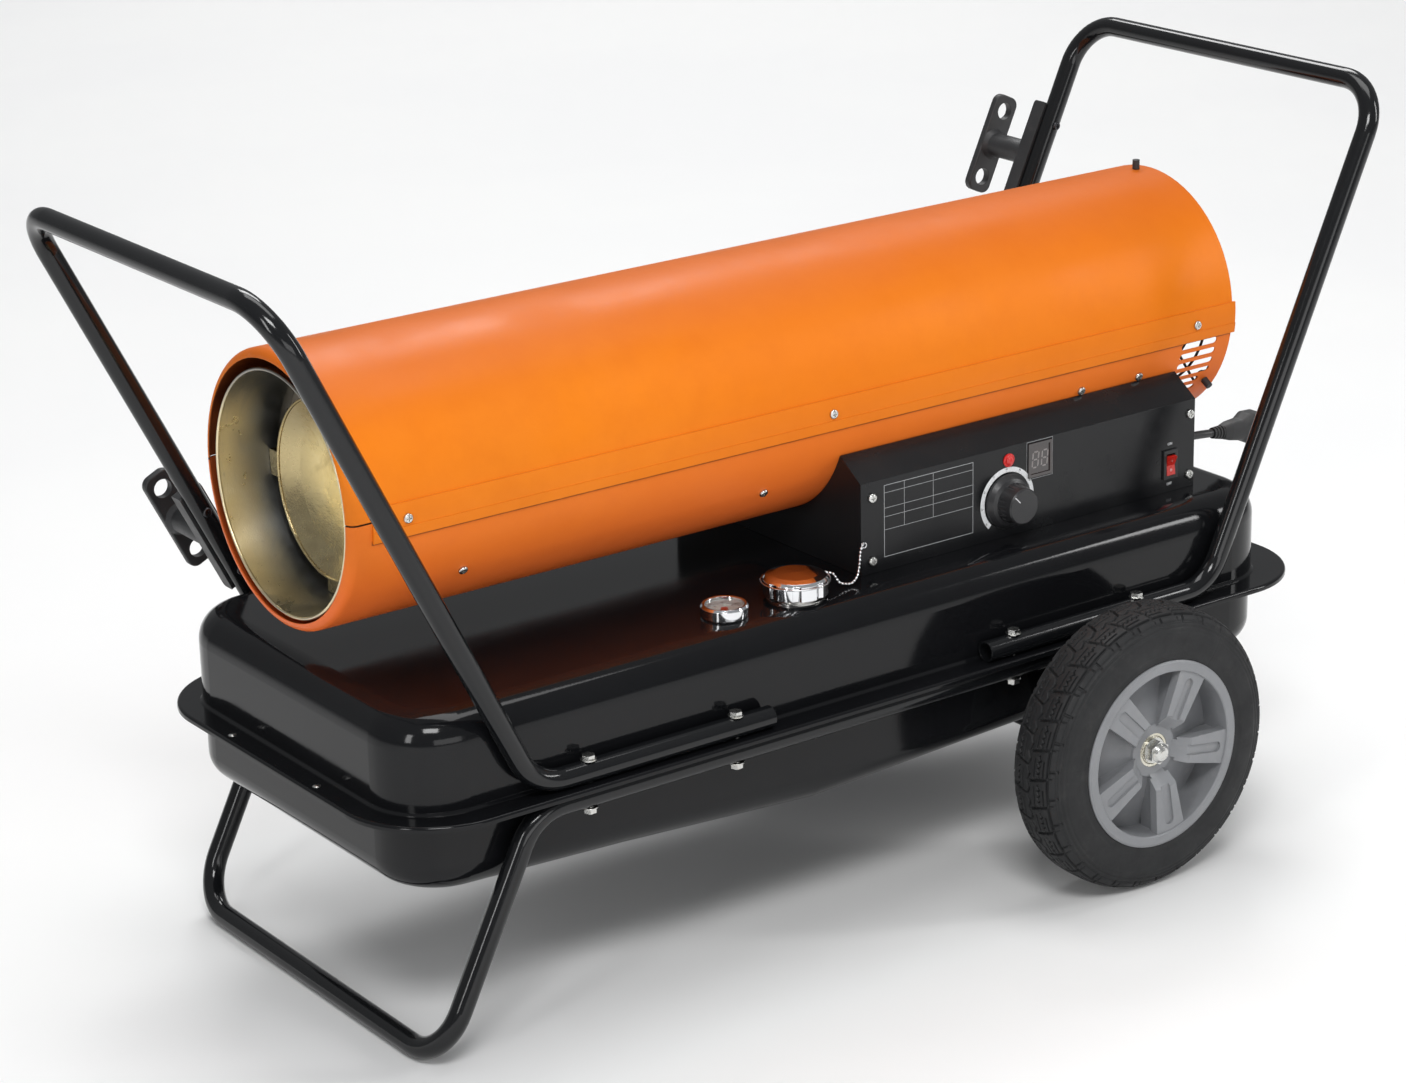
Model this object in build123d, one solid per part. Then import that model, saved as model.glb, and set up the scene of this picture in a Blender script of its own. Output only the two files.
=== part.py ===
from build123d import *
import os
from math import sin, cos, tan, radians, degrees, sqrt, pi, atan2, hypot

os.makedirs("parts", exist_ok=True)

# Forced air heater. Millimetres, +X towards the fan end, -X the hot air outlet,
# -Y the control panel side, +Z up, origin on the floor under the middle.

# ---------------------------------------------------------------- dimensions
# barrel
AX = 448.0              # height of the barrel axis
SHELL_R = 118.0         # outer radius of the barrel
SHELL_T = 1.2           # sheet thickness
SHELL_FRONT = -471.0    # front edge of the curled lip
SHELL_REAR = 478.7      # rear edge
LIP_R = 7.8             # radius of the front curl
JOGGLE_GAP = 0.2        # gap between the side flange and the lower shell
FLANGE_X0, FLANGE_X1 = -450.8, 481.5
SEAM_DROP = 18.0        # flange reaches this far below the axis

# outlet and burner
NOZ_Z = 444.5           # axis of the nozzle and chamber, a little below the barrel's
DISH_Z = 439.0          # axis of the flame dish
CHAMBER_R = 97.2

# tank
TANK_X = 0.0            # middle of the tank walls
TANK_L, TANK_W = 474.5, 190.0      # half length and half width of the walls
TANK_RC = 58.0          # corner radius of the walls
FL_X = 6.75             # middle of the flange
FL_L, FL_W, FL_RC = 504.25, 215.0, 85.0   # flange half length, half width, corner radius
LIP = 5.0               # the upper flange is turned down by this much
FL_Z = 215.5            # parting plane
TANK_TOP = 299.0
SHEET = 1.5
SUMP_X = -63.0          # lowest line of the tank bottom
TANK_EDGE = 27.0        # pressing radius of the top
TUB_EDGE = 24.0         # pressing radius of the bottom
TUB_BOTTOM = [(-480.0, 147.3), (-260.0, 137.5), (SUMP_X, 125.4), (175.0, 135.8), (480.0, 149.1)]

# tubes
TUBE = 19.0
TUBE_WALL = 1.5
SIDE_Y = 201.0          # tube centre lines
BEND = 45.0
CROSS_X, CROSS_Z = 577.25, 661.8    # handle crossbars
FOOT_Z = FL_Z + SHEET + TUBE / 2        # handle feet lie on the flange
UNDER_Z = FL_Z - SHEET - TUBE / 2       # stand feet lie under it
BOLT_X = (-309.5, -161.0, 142.7, 288.0)

# wheels
WHEEL_X, WHEEL_R = 231.5, 130.0
FACE_Y = 301.5          # outer face of the rims
AXLE_R = 6.35

# control box
BOX_X0, BOX_X1 = 23.0, 415.0
BOX_Y = 138.0
BOX_BEND = 383.0        # top of the upright panel
BOX_TOP_Y, BOX_TOP_Z = 110.0, 402.5     # upper edge of the slanted face
BOX_T = 1.2
KNOB = (188.7, 333.0)
LAMP = (190.0, 370.5)
DISPLAY = (226.5, 364.5)
ROCKER = (384.6, 326.0)
PANEL_SCREWS = [(35.0, 368.5), (35.0, 310.5), (408.6, 369.5), (408.6, 311.0)]

# tank top fittings
CAP = (-51.0, -141.0)
GAUGE = (-126.0, -140.0)
FLOAT_Z = 150.0         # underside of the float with the tank empty

# motor, fan and pump
MOTOR_X0, MOTOR_X1, MOTOR_R = 292.0, 372.0, 55.0
SHAFT_R = 5.0
FAN_X0, FAN_X1, FAN_R = 216.0, 246.0, 106.0

# power cord
CORD_Y, CORD_Z, CORD_R = -100.0, 331.0, 3.8


# ---------------------------------------------------------------- helpers
def save(name, shape):
    solids = shape.solids() if hasattr(shape, "solids") else ShapeList(shape)
    shape = solids[0] if len(solids) == 1 else Compound(solids)
    export_step(shape, f"parts/{name}.step")


def save_list(name, shapes):
    solids = []
    for s in shapes:
        solids += list(s.solids())
    export_step(solids[0] if len(solids) == 1 else Compound(solids), f"parts/{name}.step")


def cyl(p, d, r, h):
    return Part() + Solid.make_cylinder(r, h, Plane(origin=p, z_dir=d))


def xcyl(x0, x1, r, y=0.0, z=AX):
    return cyl((x0, y, z), (1, 0, 0), r, x1 - x0)


def zcyl(x, y, z0, z1, r):
    return cyl((x, y, z0), (0, 0, 1), r, z1 - z0)


def ycyl(x, z, y0, y1, r):
    return cyl((x, y0, z), (0, 1, 0), r, y1 - y0)


def block(x0, x1, y0, y1, z0, z1):
    return Part() + Solid.make_box(x1 - x0, y1 - y0, z1 - z0, Plane(origin=(x0, y0, z0)))


def ring_t(centre, d, major, minor):
    return Part() + Solid.make_torus(major, minor, Plane(origin=centre, z_dir=d))


def lathe(pts, axis):
    # pts in space, a closed outline turned about the axis
    wire = Polyline(*[Vector(*p) for p in pts], close=True)
    return Part() + revolve(make_face(wire.edges()), axis=axis)


def lathe_x(pts, z=AX, y=0.0):
    return lathe([(x, y, z + r) for x, r in pts], Axis((0, y, z), (1, 0, 0)))


def lathe_y(pts, x, z):
    return lathe([(x, y, z + r) for y, r in pts], Axis((x, 0, z), (0, 1, 0)))


def lathe_z(pts, x, y):
    return lathe([(x + r, y, z) for r, z in pts], Axis((x, y, 0), (0, 0, 1)))


def sector(x0, x1, ri, ro, a0, a1, z=AX):
    # curved strip about the barrel axis, angles from +Y towards +Z
    outer = CenterArc((0, 0), ro, a0, a1 - a0)
    inner = CenterArc((0, 0), ri, a0, a1 - a0)
    face = make_face([outer, Line(outer @ 1, inner @ 1), inner, Line(inner @ 0, outer @ 0)])
    return Part() + extrude(Plane(origin=(x0, 0, z), x_dir=(0, 1, 0), z_dir=(1, 0, 0)) * face, x1 - x0)


def radial(a):
    return Vector(0, cos(radians(a)), sin(radians(a)))


def rod_r(x, a, r, r0, r1):
    # rod that points out from the barrel axis
    d = radial(a)
    return cyl((x, d.Y * r0, AX + d.Z * r0), d, r, r1 - r0)


def path_of(pts, radius):
    return FilletPolyline(*[Vector(*p) for p in pts], radius=radius)


def rod_path(pts, radius, r):
    path = path_of(pts, radius)
    return Part() + sweep(Plane(origin=path @ 0, z_dir=path % 0) * Circle(r), path=path)


def tube_path(pts, radius, od, wall):
    return rod_path(pts, radius, od / 2) - rod_path(pts, radius, od / 2 - wall)


def rounded(l, w, rc, z0, z1, x=TANK_X):
    return Part() + extrude(Plane(origin=(x, 0, z0)) * RectangleRounded(2 * l, 2 * w, rc), z1 - z0)


def prism_y(pts, y0, y1):
    # outline in X and Z, extruded along Y
    face = make_face(Polyline(*[Vector(x, y0, z) for x, z in pts], close=True).edges())
    return Part() + extrude(face, y1 - y0, dir=(0, 1, 0))


def prism_x(pts, x0, x1):
    # outline in Y and Z, extruded along X
    face = make_face(Polyline(*[Vector(x0, y, z) for y, z in pts], close=True).edges())
    return Part() + extrude(face, x1 - x0, dir=(1, 0, 0))


def hexagon(p, d, across, h):
    return Part() + extrude(Plane(origin=p, z_dir=d) * RegularPolygon(across / 2, 6, major_radius=False), h)


def fuse(parts):
    out = parts[0]
    for p in parts[1:]:
        out = out + p
    return out


def mirror_y(shape):
    return Part() + mirror(shape, about=Plane.XZ)


# ---------------------------------------------------------------- barrel shells
def shell_blank():
    def pt(x, r):
        return Vector(x, 0, AX + r)
    xc, rc = SHELL_FRONT + LIP_R, SHELL_R - LIP_R
    k = sqrt(0.5)
    ri = LIP_R - SHELL_T
    edges = [
        Line(pt(SHELL_REAR, SHELL_R), pt(xc, SHELL_R)),
        ThreePointArc(pt(xc, SHELL_R), pt(xc - k * LIP_R, rc + k * LIP_R), pt(xc - LIP_R, rc)),
        Line(pt(xc - LIP_R, rc), pt(xc - ri, rc)),
        ThreePointArc(pt(xc - ri, rc), pt(xc - k * ri, rc + k * ri), pt(xc, rc + ri)),
        Line(pt(xc, rc + ri), pt(SHELL_REAR - 7, rc + ri)),
        Line(pt(SHELL_REAR - 7, rc + ri), pt(SHELL_REAR - 7, rc + ri - 1.0)),
        Line(pt(SHELL_REAR - 7, rc + ri - 1.0), pt(SHELL_REAR, rc + ri - 1.0)),
        Line(pt(SHELL_REAR, rc + ri - 1.0), pt(SHELL_REAR, SHELL_R)),
    ]
    return Part() + revolve(make_face(edges), axis=Axis((0, 0, AX), (1, 0, 0)))


SEAM_SCREWS = [(x, a, 119.4) for x in (-419.0, 8.5, 433.0) for a in (181.2, -1.2)]
CHAMBER_SCREWS = [(x, a, SHELL_R) for x in (-357.0, -52.0) for a in (214.0, -34.0)]
MOTOR_SCREWS = [(x, a, SHELL_R) for x in (299.0, 369.0) for a in (200.3, -20.3)]
ALL_SHELL_SCREWS = SEAM_SCREWS + CHAMBER_SCREWS + MOTOR_SCREWS
PIN_X = 463.5
PIN_ANGLES = (90.0, 213.6, -33.6)

blank = shell_blank()
screw_holes = fuse([rod_r(x, a, 2.15, 108.0, 124.0) for x, a, r in ALL_SHELL_SCREWS])
pin_holes = fuse([rod_r(PIN_X, a, 2.65, 108.0, 124.0) for a in PIN_ANGLES])

flange_a = degrees(atan2(SEAM_DROP, sqrt(119.4 ** 2 - SEAM_DROP ** 2)))
side_flange = [
    sector(FLANGE_X0, FLANGE_X1, 118.2, 119.4, -flange_a, 4.6),
    sector(FLANGE_X0, FLANGE_X1, 116.8, 119.4, 4.3, 5.4),
    sector(FLANGE_X0, FLANGE_X1, 119.0, 120.0, -flange_a, -flange_a + 4.4),
]
upper = blank - block(FLANGE_X0, 490, -130, 130, 300, AX + 10.3)
upper = upper - block(-480, FLANGE_X0, -130, 130, 300, AX + 0.4)
for s in side_flange:
    upper = upper + s
    upper = upper + mirror_y(s)
upper = upper - screw_holes - pin_holes
save("upper_shell", upper)

# lower shell, with the side air slots near the fan end and two line holes in the bottom
lower = blank - block(FLANGE_X0 + 0.3, 490, -130, 130, AX + 8.0, 600)
lower = lower - block(-480, FLANGE_X0 + 0.3, -130, 130, AX - 0.4, 600)
SLOT_ANGLES = (-11.0, -16.1, -21.2, -26.3, -31.4, -36.5)
slots = []
for i, a in enumerate(SLOT_ANGLES):
    x1 = 462.0 if i < 4 else 453.0
    for ang in (a, 180.0 - a):
        d = radial(ang)
        c = ((418.0 + x1) / 2, d.Y * 112, AX + d.Z * 112)
        slots.append(extrude(Plane(origin=c, x_dir=(1, 0, 0), z_dir=d) * SlotOverall(x1 - 418.0, 6.6), 12))
lower = lower - fuse([Part() + s for s in slots])
lower = lower - screw_holes - pin_holes
lower = lower - zcyl(70, 0, 320, 345, 6.0) - zcyl(84, 14, 320, 345, 6.0) - zcyl(405, 0, 320, 345, 6.0)
save("lower_shell", lower)


def pan_screw(p, d, head_r=4.2, head_h=2.6, shank_r=1.95, shank_l=10.0):
    d = Vector(*d) if not isinstance(d, Vector) else d
    p = Vector(*p) if not isinstance(p, Vector) else p
    head = cyl(p, d, head_r, head_h)
    try:
        head = Part() + fillet(head.edges().filter_by(GeomType.CIRCLE).sort_by(Axis(p, d))[-1], 1.6)
    except Exception:
        pass
    shank = cyl(p - d * shank_l, d, shank_r, shank_l)
    slot_x = Plane(origin=p + d * (head_h - 1.2), z_dir=d)
    cross = Part() + extrude(slot_x * Rectangle(4.6, 1.0), 3) + extrude(slot_x * Rectangle(1.0, 4.6), 3)
    return (head + shank) - cross


save_list("shell_screws", [pan_screw((x, radial(a).Y * r, AX + radial(a).Z * r), radial(a)) for x, a, r in ALL_SHELL_SCREWS])

# fan guard: wire rings on crossed wires, inside the rear edge
rings = [ring_t((471.6, 0, AX), (1, 0, 0), m, 1.3) for m in (24, 41, 58, 75, 92)]
outer_ring = ring_t((471.6, 0, AX), (1, 0, 0), 111.2, 1.7)
wires = []
for a in (0, 45, 90, 135):
    d = radial(a)
    wires.append(cyl((473.6, -d.Y * 112, AX - d.Z * 112), d, 1.3, 224))
guard = fuse([outer_ring] + wires + rings + [xcyl(472.6, 474.6, 12)])
for a in PIN_ANGLES:
    d = radial(a)
    t = Vector(0, -sin(radians(a)), cos(radians(a)))
    tab = Part() + extrude(Plane(origin=(PIN_X + 3.5, d.Y * 112.4, AX + d.Z * 112.4), x_dir=(1, 0, 0), z_dir=d) * Rectangle(17, 14), 1.4)
    guard = guard + (tab - rod_r(PIN_X, a, 2.65, 105, 120))
save("fan_guard", guard)

pins = []
for a in PIN_ANGLES:
    pins.append(rod_r(PIN_X, a, 2.5, 109.5, 118.4) + rod_r(PIN_X, a, 3.4, 118.4, 127.0) + rod_r(PIN_X, a, 4.6, 110.2, 112.2))
save_list("guard_pins", pins)

# ---------------------------------------------------------------- outlet and burner
nozzle = lathe_x([(-466.4, 104.1), (-412, 98.6), (-392, 98.6), (-392, 97.4), (-412, 97.4), (-466.4, 103.0)], NOZ_Z)
nozzle = nozzle + ring_t((-466.6, 0, NOZ_Z), (1, 0, 0), 103.6, 1.5)
save("nozzle_cone", nozzle)

chamber = lathe_x([(-404, CHAMBER_R), (-30, CHAMBER_R), (-30, 46.0), (-31, 46.0), (-31, CHAMBER_R - 1), (-403, CHAMBER_R - 1), (-403, 88), (-404, 88)], NOZ_Z)
for x, a, r in CHAMBER_SCREWS:
    post = rod_r(x, a, 6.5, 98.5, 116.3) - xcyl(x - 20, x + 20, CHAMBER_R - 0.6, 0, NOZ_Z)
    chamber = chamber + post
    chamber = chamber - rod_r(x, a, 2.0, 106.0, 118.0)
save("combustion_chamber", chamber)


def dish_profile():
    def pt(x, r):
        return Vector(x, 0, DISH_Z + r)
    e = [
        Line(pt(-424.7, 77.2), pt(-413.5, 60)),
        ThreePointArc(pt(-413.5, 60), pt(-405.2, 32), pt(-402, 0.01)),
        Line(pt(-402, 0.01), pt(-401, 0.01)),
        ThreePointArc(pt(-401, 0.01), pt(-404.3, 32.4), pt(-412.6, 60.7)),
        Line(pt(-412.6, 60.7), pt(-423.8, 77.8)),
        Line(pt(-423.8, 77.8), pt(-424.7, 77.2)),
    ]
    return make_face(e)


dish = Part() + revolve(dish_profile(), axis=Axis((0, 0, DISH_Z), (1, 0, 0)))
dish = dish + ring_t((-424.4, 0, DISH_Z), (1, 0, 0), 77.0, 1.4)
dz = NOZ_Z - DISH_Z
for a in (0, 90, 180, 270):
    d = radial(a)
    reach = 97.9 + (dz if a == 90 else (-dz if a == 270 else -0.25))
    t = Part() + extrude(Plane(origin=(-420.6, 0, DISH_Z) + Vector(0, d.Y, d.Z) * 72.2, x_dir=(1, 0, 0), z_dir=d) * Rectangle(1.2, 22), reach - 72.2)
    f = Part() + extrude(Plane(origin=(-415.5, 0, DISH_Z) + Vector(0, d.Y, d.Z) * (reach - 1.4), x_dir=(1, 0, 0), z_dir=d) * Rectangle(11, 22), 1.2)
    inside = xcyl(-440, -400, 97.2, 0, NOZ_Z)
    dish = dish + ((t + f) & inside)
save("flame_dish", dish)

# burner head: rear plate with air windows, a cup in the chamber mouth, hub with the fuel nozzle
plate = xcyl(-29.9, -28.7, 62, 0, NOZ_Z)
cup = lathe_x([(-75, 45.6), (-29.9, 45.6), (-29.9, 44.6), (-74, 44.6), (-74, 30), (-75, 30)], NOZ_Z)
hub = lathe_x([(-66, 0.01), (-64, 3.0), (-58, 5.5), (-56, 9.0), (-22, 9.0), (-22, 0.01)], NOZ_Z)
head = plate + cup + hub
for a in (150, 210, 270, 330, 90):
    d = radial(a)
    head = head - cyl((-32, d.Y * 27, NOZ_Z + d.Z * 27), (1, 0, 0), 9.5, 6)
head = head - cyl((-32, 24 * cos(radians(30)), NOZ_Z + 24 * sin(radians(30))), (1, 0, 0), 4.15, 6)
for k in range(12):
    a = k * 30 + 15
    d = radial(a)
    s = Part() + extrude(Plane(origin=(-76, d.Y * 38.4, NOZ_Z + d.Z * 38.4), x_dir=d, z_dir=(1, 0, 0)) * SlotOverall(9.6, 3.2), 4)
    head = head - s
save("burner_head", head)

ey, ez = 24 * cos(radians(30)), NOZ_Z + 24 * sin(radians(30))
electrode = cyl((-70, ey, ez), (1, 0, 0), 3.0, 38) + cyl((-33, ey, ez), (1, 0, 0), 4.1, 25) + cyl((-29.9 + 1.3, ey, ez), (1, 0, 0), 6.5, 3)
electrode = electrode + rod_path([(-69, ey, ez), (-84, ey, ez), (-90, ey - 8, ez - 5)], 2.5, 1.0)
electrode = electrode + cyl((-8, ey, ez), (1, 0, 0), 2.2, 8)
save("spark_electrode", electrode)

# ---------------------------------------------------------------- motor, fan, pump
stator = lathe_x([(284, 46), (288, 54), (MOTOR_X0, MOTOR_R), (MOTOR_X1, MOTOR_R), (376, 54), (380, 46), (380, 5.05), (374, 5.05), (374, 31), (290, 31), (290, 5.05), (284, 5.05)])
for k in range(10):
    a = k * 36 + 18
    d = radial(a)
    for x0 in (283.0,):
        stator = stator - (Part() + extrude(Plane(origin=(x0, d.Y * 38, AX + d.Z * 38), x_dir=d, z_dir=(1, 0, 0)) * SlotOverall(10, 5), 7.2))
save("motor_stator", stator)

rotor = lathe_x([(212, 0.01), (212, SHAFT_R), (296, SHAFT_R), (296, 29.5), (368, 29.5), (368, SHAFT_R), (403, SHAFT_R), (403, 0.01)])
save("motor_rotor", rotor)

zb = AX - MOTOR_R - 0.2
bracket = sector(287, 381, 115.2, 116.6, -32, -14) + sector(287, 381, 115.2, 116.6, 194, 212)
yb = sqrt(115.9 ** 2 - (AX - zb + 0.7) ** 2)
bracket = bracket + block(287, 381, -yb, yb, zb - 1.4, zb)
bracket = bracket & xcyl(200, 400, 116.6)
keep = block(280, 390, -130, 130, zb - 1.4, AX)
bracket = bracket & keep
for sy in (-1, 1):
    bracket = bracket - block(305, 363, min(sy * 48, sy * 88), max(sy * 48, sy * 88), zb - 5, zb + 5)
bracket = bracket + (block(300, 306, -40, 40, zb - 0.2, zb + 20) - xcyl(290, 310, MOTOR_R + 0.15)) + (block(358, 364, -40, 40, zb - 0.2, zb + 20) - xcyl(350, 370, MOTOR_R + 0.15))
for x, a, r in MOTOR_SCREWS:
    bracket = bracket - rod_r(x, a, 2.0, 108.0, 120.0)
save("motor_bracket", bracket)

# fan: hub on the shaft and five twisted blades
fan = lathe_x([(FAN_X0, SHAFT_R), (FAN_X0, 17), (FAN_X0 + 5, 22), (FAN_X1, 22), (FAN_X1, SHAFT_R)])
for k in range(5):
    a = k * 72 + 10
    d = radial(a)
    xm = (FAN_X0 + FAN_X1) / 2 + 2

    def section(rad, chord, pitch):
        t = Vector(0, -sin(radians(a)), cos(radians(a)))
        xd = Vector(1, 0, 0) * sin(radians(pitch)) + t * cos(radians(pitch))
        return Plane(origin=Vector(xm, d.Y * rad, AX + d.Z * rad), x_dir=xd, z_dir=d) * RectangleRounded(chord, 2.0, 0.9)
    blade = Part() + loft([section(18.0, 26, 42), section(60.0, 52, 30), section(102.0, 60, 20)])
    blade = blade & xcyl(180, 300, FAN_R)
    fan = fan + (blade - xcyl(180, 300, 12))
save("fan", fan)

# rotary vane pump on the rear of the motor
pump = lathe_x([(380.2, 36), (412, 36), (415, 33), (415, 0.01), (404.2, 0.01), (404.2, 5.05), (380.2, 5.05)])
pump = pump - xcyl(388, 404.2, 20, 0, AX - 2.5)
pump = pump + xcyl(414, 428, 12, 18, AX - 13) + xcyl(414, 426, 12, -16, AX - 14)
pump = pump + zcyl(405, 0, AX - 47, AX - 34, 6) - zcyl(405, 0, AX - 50, AX - 30, 2.0)
pump = pump - xcyl(404.0, 430, 3.1, -20, AX + 14)
save("pump_body", pump)

pump_rotor = xcyl(388.3, 403.8, 17) - xcyl(380, 410, SHAFT_R + 0.02)
for k in range(4):
    a = 45 + 90 * k
    d = radial(a)
    pump_rotor = pump_rotor - (Part() + extrude(Plane(origin=(396, d.Y * 13.5, AX + d.Z * 13.5), x_dir=d, z_dir=(1, 0, 0)) * Rectangle(9, 2.0), 20, both=True))
save("pump_rotor", pump_rotor)

gauge_p = xcyl(415.0, 421, 4, 4, AX + 17) + lathe_x([(420, 0.01), (420, 14), (421, 16), (430, 16), (431, 15), (431, 13.5), (429.5, 13.5), (429.5, 0.01)], AX + 17, 4)
save("pressure_gauge", gauge_p)

adj = xcyl(406, 419, 3.0, -20, AX + 14) + xcyl(417, 421.5, 5.0, -20, AX + 14)
adj = adj - block(420.3, 423, -24.5, -15.5, AX + 13.4, AX + 14.6)
save("pump_adjuster", adj)

save("air_line", rod_path([(405, 0, AX - 47.1), (405, 0, 316), (70, 0, 316), (70, 0, 441), (-21.8, 0, 441)], 16, 2.5))
pick = zcyl(110, 14, 143, 310, 2.5) + zcyl(110, 14, TANK_TOP + 0.05, TANK_TOP + 6, 7) + zcyl(110, 14, 138, 152, 7)
feed = rod_path([(110, 14, 306), (110, 14, 320), (96, 14, 323), (84, 14, 329), (84, 14, 449), (44, 14, 449), (14, 3, 449), (2, 0, 449), (-21.9, 0, 449)], 6, 2.4)
save("fuel_line", pick + feed)

# ---------------------------------------------------------------- tank
top_out = rounded(TANK_L, TANK_W, TANK_RC, FL_Z, TANK_TOP)
top_out = Part() + fillet(top_out.faces().sort_by(Axis.Z)[-1].edges(), TANK_EDGE)
top_in = rounded(TANK_L - SHEET, TANK_W - SHEET, TANK_RC - SHEET, FL_Z - 5, TANK_TOP - SHEET)
top_in = Part() + fillet(top_in.faces().sort_by(Axis.Z)[-1].edges(), TANK_EDGE - SHEET)
flange_t = rounded(FL_L, FL_W, FL_RC, FL_Z + SHEET - LIP, FL_Z + SHEET, FL_X)
flange_t = Part() + fillet(flange_t.faces().sort_by(Axis.Z)[-1].edges(), 2.6)
flange_t = flange_t - rounded(FL_L - SHEET, FL_W - SHEET, FL_RC - SHEET, FL_Z - LIP - 1, FL_Z, FL_X)
root = rounded(TANK_L + 2.6, TANK_W + 2.6, TANK_RC + 2.6, FL_Z + SHEET - 0.2, FL_Z + SHEET + 2.4)
root = Part() + chamfer(root.faces().sort_by(Axis.Z)[-1].edges(), 1.9)
tank_top = (top_out + flange_t + root) - top_in
bolt_holes = fuse([zcyl(x, s * SIDE_Y, 180, 250, 3.3) for x in BOLT_X for s in (-1, 1)])
tank_top = tank_top - bolt_holes
tank_top = tank_top - zcyl(CAP[0], CAP[1], 280, 310, 20.15) - zcyl(GAUGE[0], GAUGE[1], 280, 310, 14.6) - zcyl(110, 14, 280, 310, 2.7)
save("tank_top", tank_top)


def tub(l, w, rc, inset, edge, ztop):
    body = rounded(l, w, rc, 100, ztop)
    cut = prism_y([(x, z + inset) for x, z in TUB_BOTTOM] + [(480, 60), (-480, 60)], -260, 260)
    return body - cut, edge


def tub_filleted(l, w, rc, inset, edge, ztop):
    body, e = tub(l, w, rc, inset, edge, ztop)
    low = [ed for ed in body.edges() if ed.center().Z < ztop - 40]
    rim = [ed for ed in low if not (abs(ed.tangent_at(0.5).Y) > 0.95 and abs(ed.center().Y) < 1.0 and abs(ed.center().X - TANK_X) < l - 5)]
    return Part() + fillet(rim, e)


tub_out = tub_filleted(TANK_L - 1.6, TANK_W - 1.6, TANK_RC - 1.6, 0.0, TUB_EDGE, FL_Z)
tub_in = tub_filleted(TANK_L - 1.6 - SHEET, TANK_W - 1.6 - SHEET, TANK_RC - 1.6 - SHEET, SHEET, TUB_EDGE - SHEET, FL_Z + 5)
flange_b = rounded(FL_L - SHEET - 0.3, FL_W - SHEET - 0.3, FL_RC - SHEET - 0.3, FL_Z - SHEET, FL_Z, FL_X)
tank_bottom = (tub_out + flange_b) - tub_in - bolt_holes
DRAIN = (SUMP_X + 1, 0.0)
tank_bottom = tank_bottom + (zcyl(DRAIN[0], DRAIN[1], 123.2, 131, 14)) - zcyl(DRAIN[0], DRAIN[1], 110, 140, 7.02)
save("tank_bottom", tank_bottom)

drain = zcyl(DRAIN[0], DRAIN[1], 120.0, 131.0, 7.0) + zcyl(DRAIN[0], DRAIN[1], 120.2, 123.1, 11) + hexagon((DRAIN[0], DRAIN[1], 114.5), (0, 0, 1), 17, 6.0)
save("drain_plug", drain)

# filler neck, cap with its spring plate, chain
neck = lathe_z([(18.4, 284), (20.0, 284), (20.0, TANK_TOP + 0.05), (25.5, TANK_TOP + 0.05), (25.5, TANK_TOP + 1.4), (20.0, TANK_TOP + 1.4), (20.0, 308.5), (18.4, 308.5)], *CAP)
save("filler_neck", neck)

cap = lathe_z([(0.01, 321.4), (20, 320.6), (26.5, 319.0), (28.5, 316.8), (28.5, 303.6), (21.6, 303.6), (21.6, 317.8), (0.01, 317.8)], *CAP)
cap = cap - zcyl(CAP[0], CAP[1], 317.0, 319.9, 3.05)
for k in range(8):
    a = radians(k * 45 + 10)
    cap = cap - zcyl(CAP[0] + 31.6 * cos(a), CAP[1] + 31.6 * sin(a), 300, 317.2, 5.2)
save("filler_cap", cap)

disc = lathe_z([(0.01, 308.7), (20.9, 308.7), (20.9, 310.6), (14, 311.6), (5.0, 311.6), (5.0, 317.5), (3.0, 317.5), (3.0, 319.7), (0.01, 319.7)], *CAP)
save("cap_plate", disc)

collar = ring_t((CAP[0], CAP[1], 315.0), (0, 0, 1), 30.0, 0.9)
chain = rod_path([(-21.2, -145.5, 315.5), (-15, -147, 314), (-10, -149.5, 303.8), (4, -151, 302.4), (12, -147.5, 308), (18.5, -142, 325), (21.5, -140.6, 328)], 2.6, 1.5)
eye = ycyl(24.5, 328, -141.4, -138.1, 2.6)
save("cap_chain", collar + chain + eye)

# fuel gauge: bezel and body, lens, needle on its spindle, float on the guide tube
gx, gy = GAUGE
gbody = lathe_z([(4.0, TANK_TOP + 0.05), (20.0, TANK_TOP + 0.05), (20.6, TANK_TOP + 1.5), (20.6, 308.4), (19.0, 310.4), (17.0, 310.0), (17.0, 308.6), (17.6, 308.6), (17.6, 302.2), (4.0, 302.2)], gx, gy)
gbody = gbody + lathe_z([(14.4, 294), (14.4, 302), (4, 302), (4, 297), (12.6, 297), (12.6, 294)], gx, gy)
gbody = gbody + lathe_z([(2.4, 145), (4.2, 145), (4.2, 301), (2.4, 301)], gx, gy) + lathe_z([(2.4, 143.4), (7.5, 143.4), (7.5, 145.4), (2.4, 145.4)], gx, gy)
gbody = gbody - zcyl(gx, gy, 290, 304, 1.35)
gbody = gbody + (zcyl(gx, gy, 298.5, 302.2, 5.0) - zcyl(gx, gy, 290, 304, 1.35))
save("gauge_body", gbody)
save("gauge_lens", zcyl(gx, gy, 307.2, 308.5, 17.4))
needle = zcyl(gx, gy, 292, 305.2, 1.2) + zcyl(gx, gy, 303.2, 305.0, 3.2)
na = radians(215)
needle = needle + (Part() + extrude(Plane(origin=(gx + 6.5 * cos(na), gy + 6.5 * sin(na), 303.8), x_dir=(cos(na), sin(na), 0), z_dir=(0, 0, 1)) * Rectangle(19, 1.8), 0.8))
save("gauge_needle", needle)
flt = lathe_z([(4.5, FLOAT_Z), (13.5, FLOAT_Z), (13.5, FLOAT_Z + 18), (4.5, FLOAT_Z + 18)], gx, gy)
save("gauge_float", flt)

# ---------------------------------------------------------------- control box
cut_r = SHELL_R + 0.35


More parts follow.
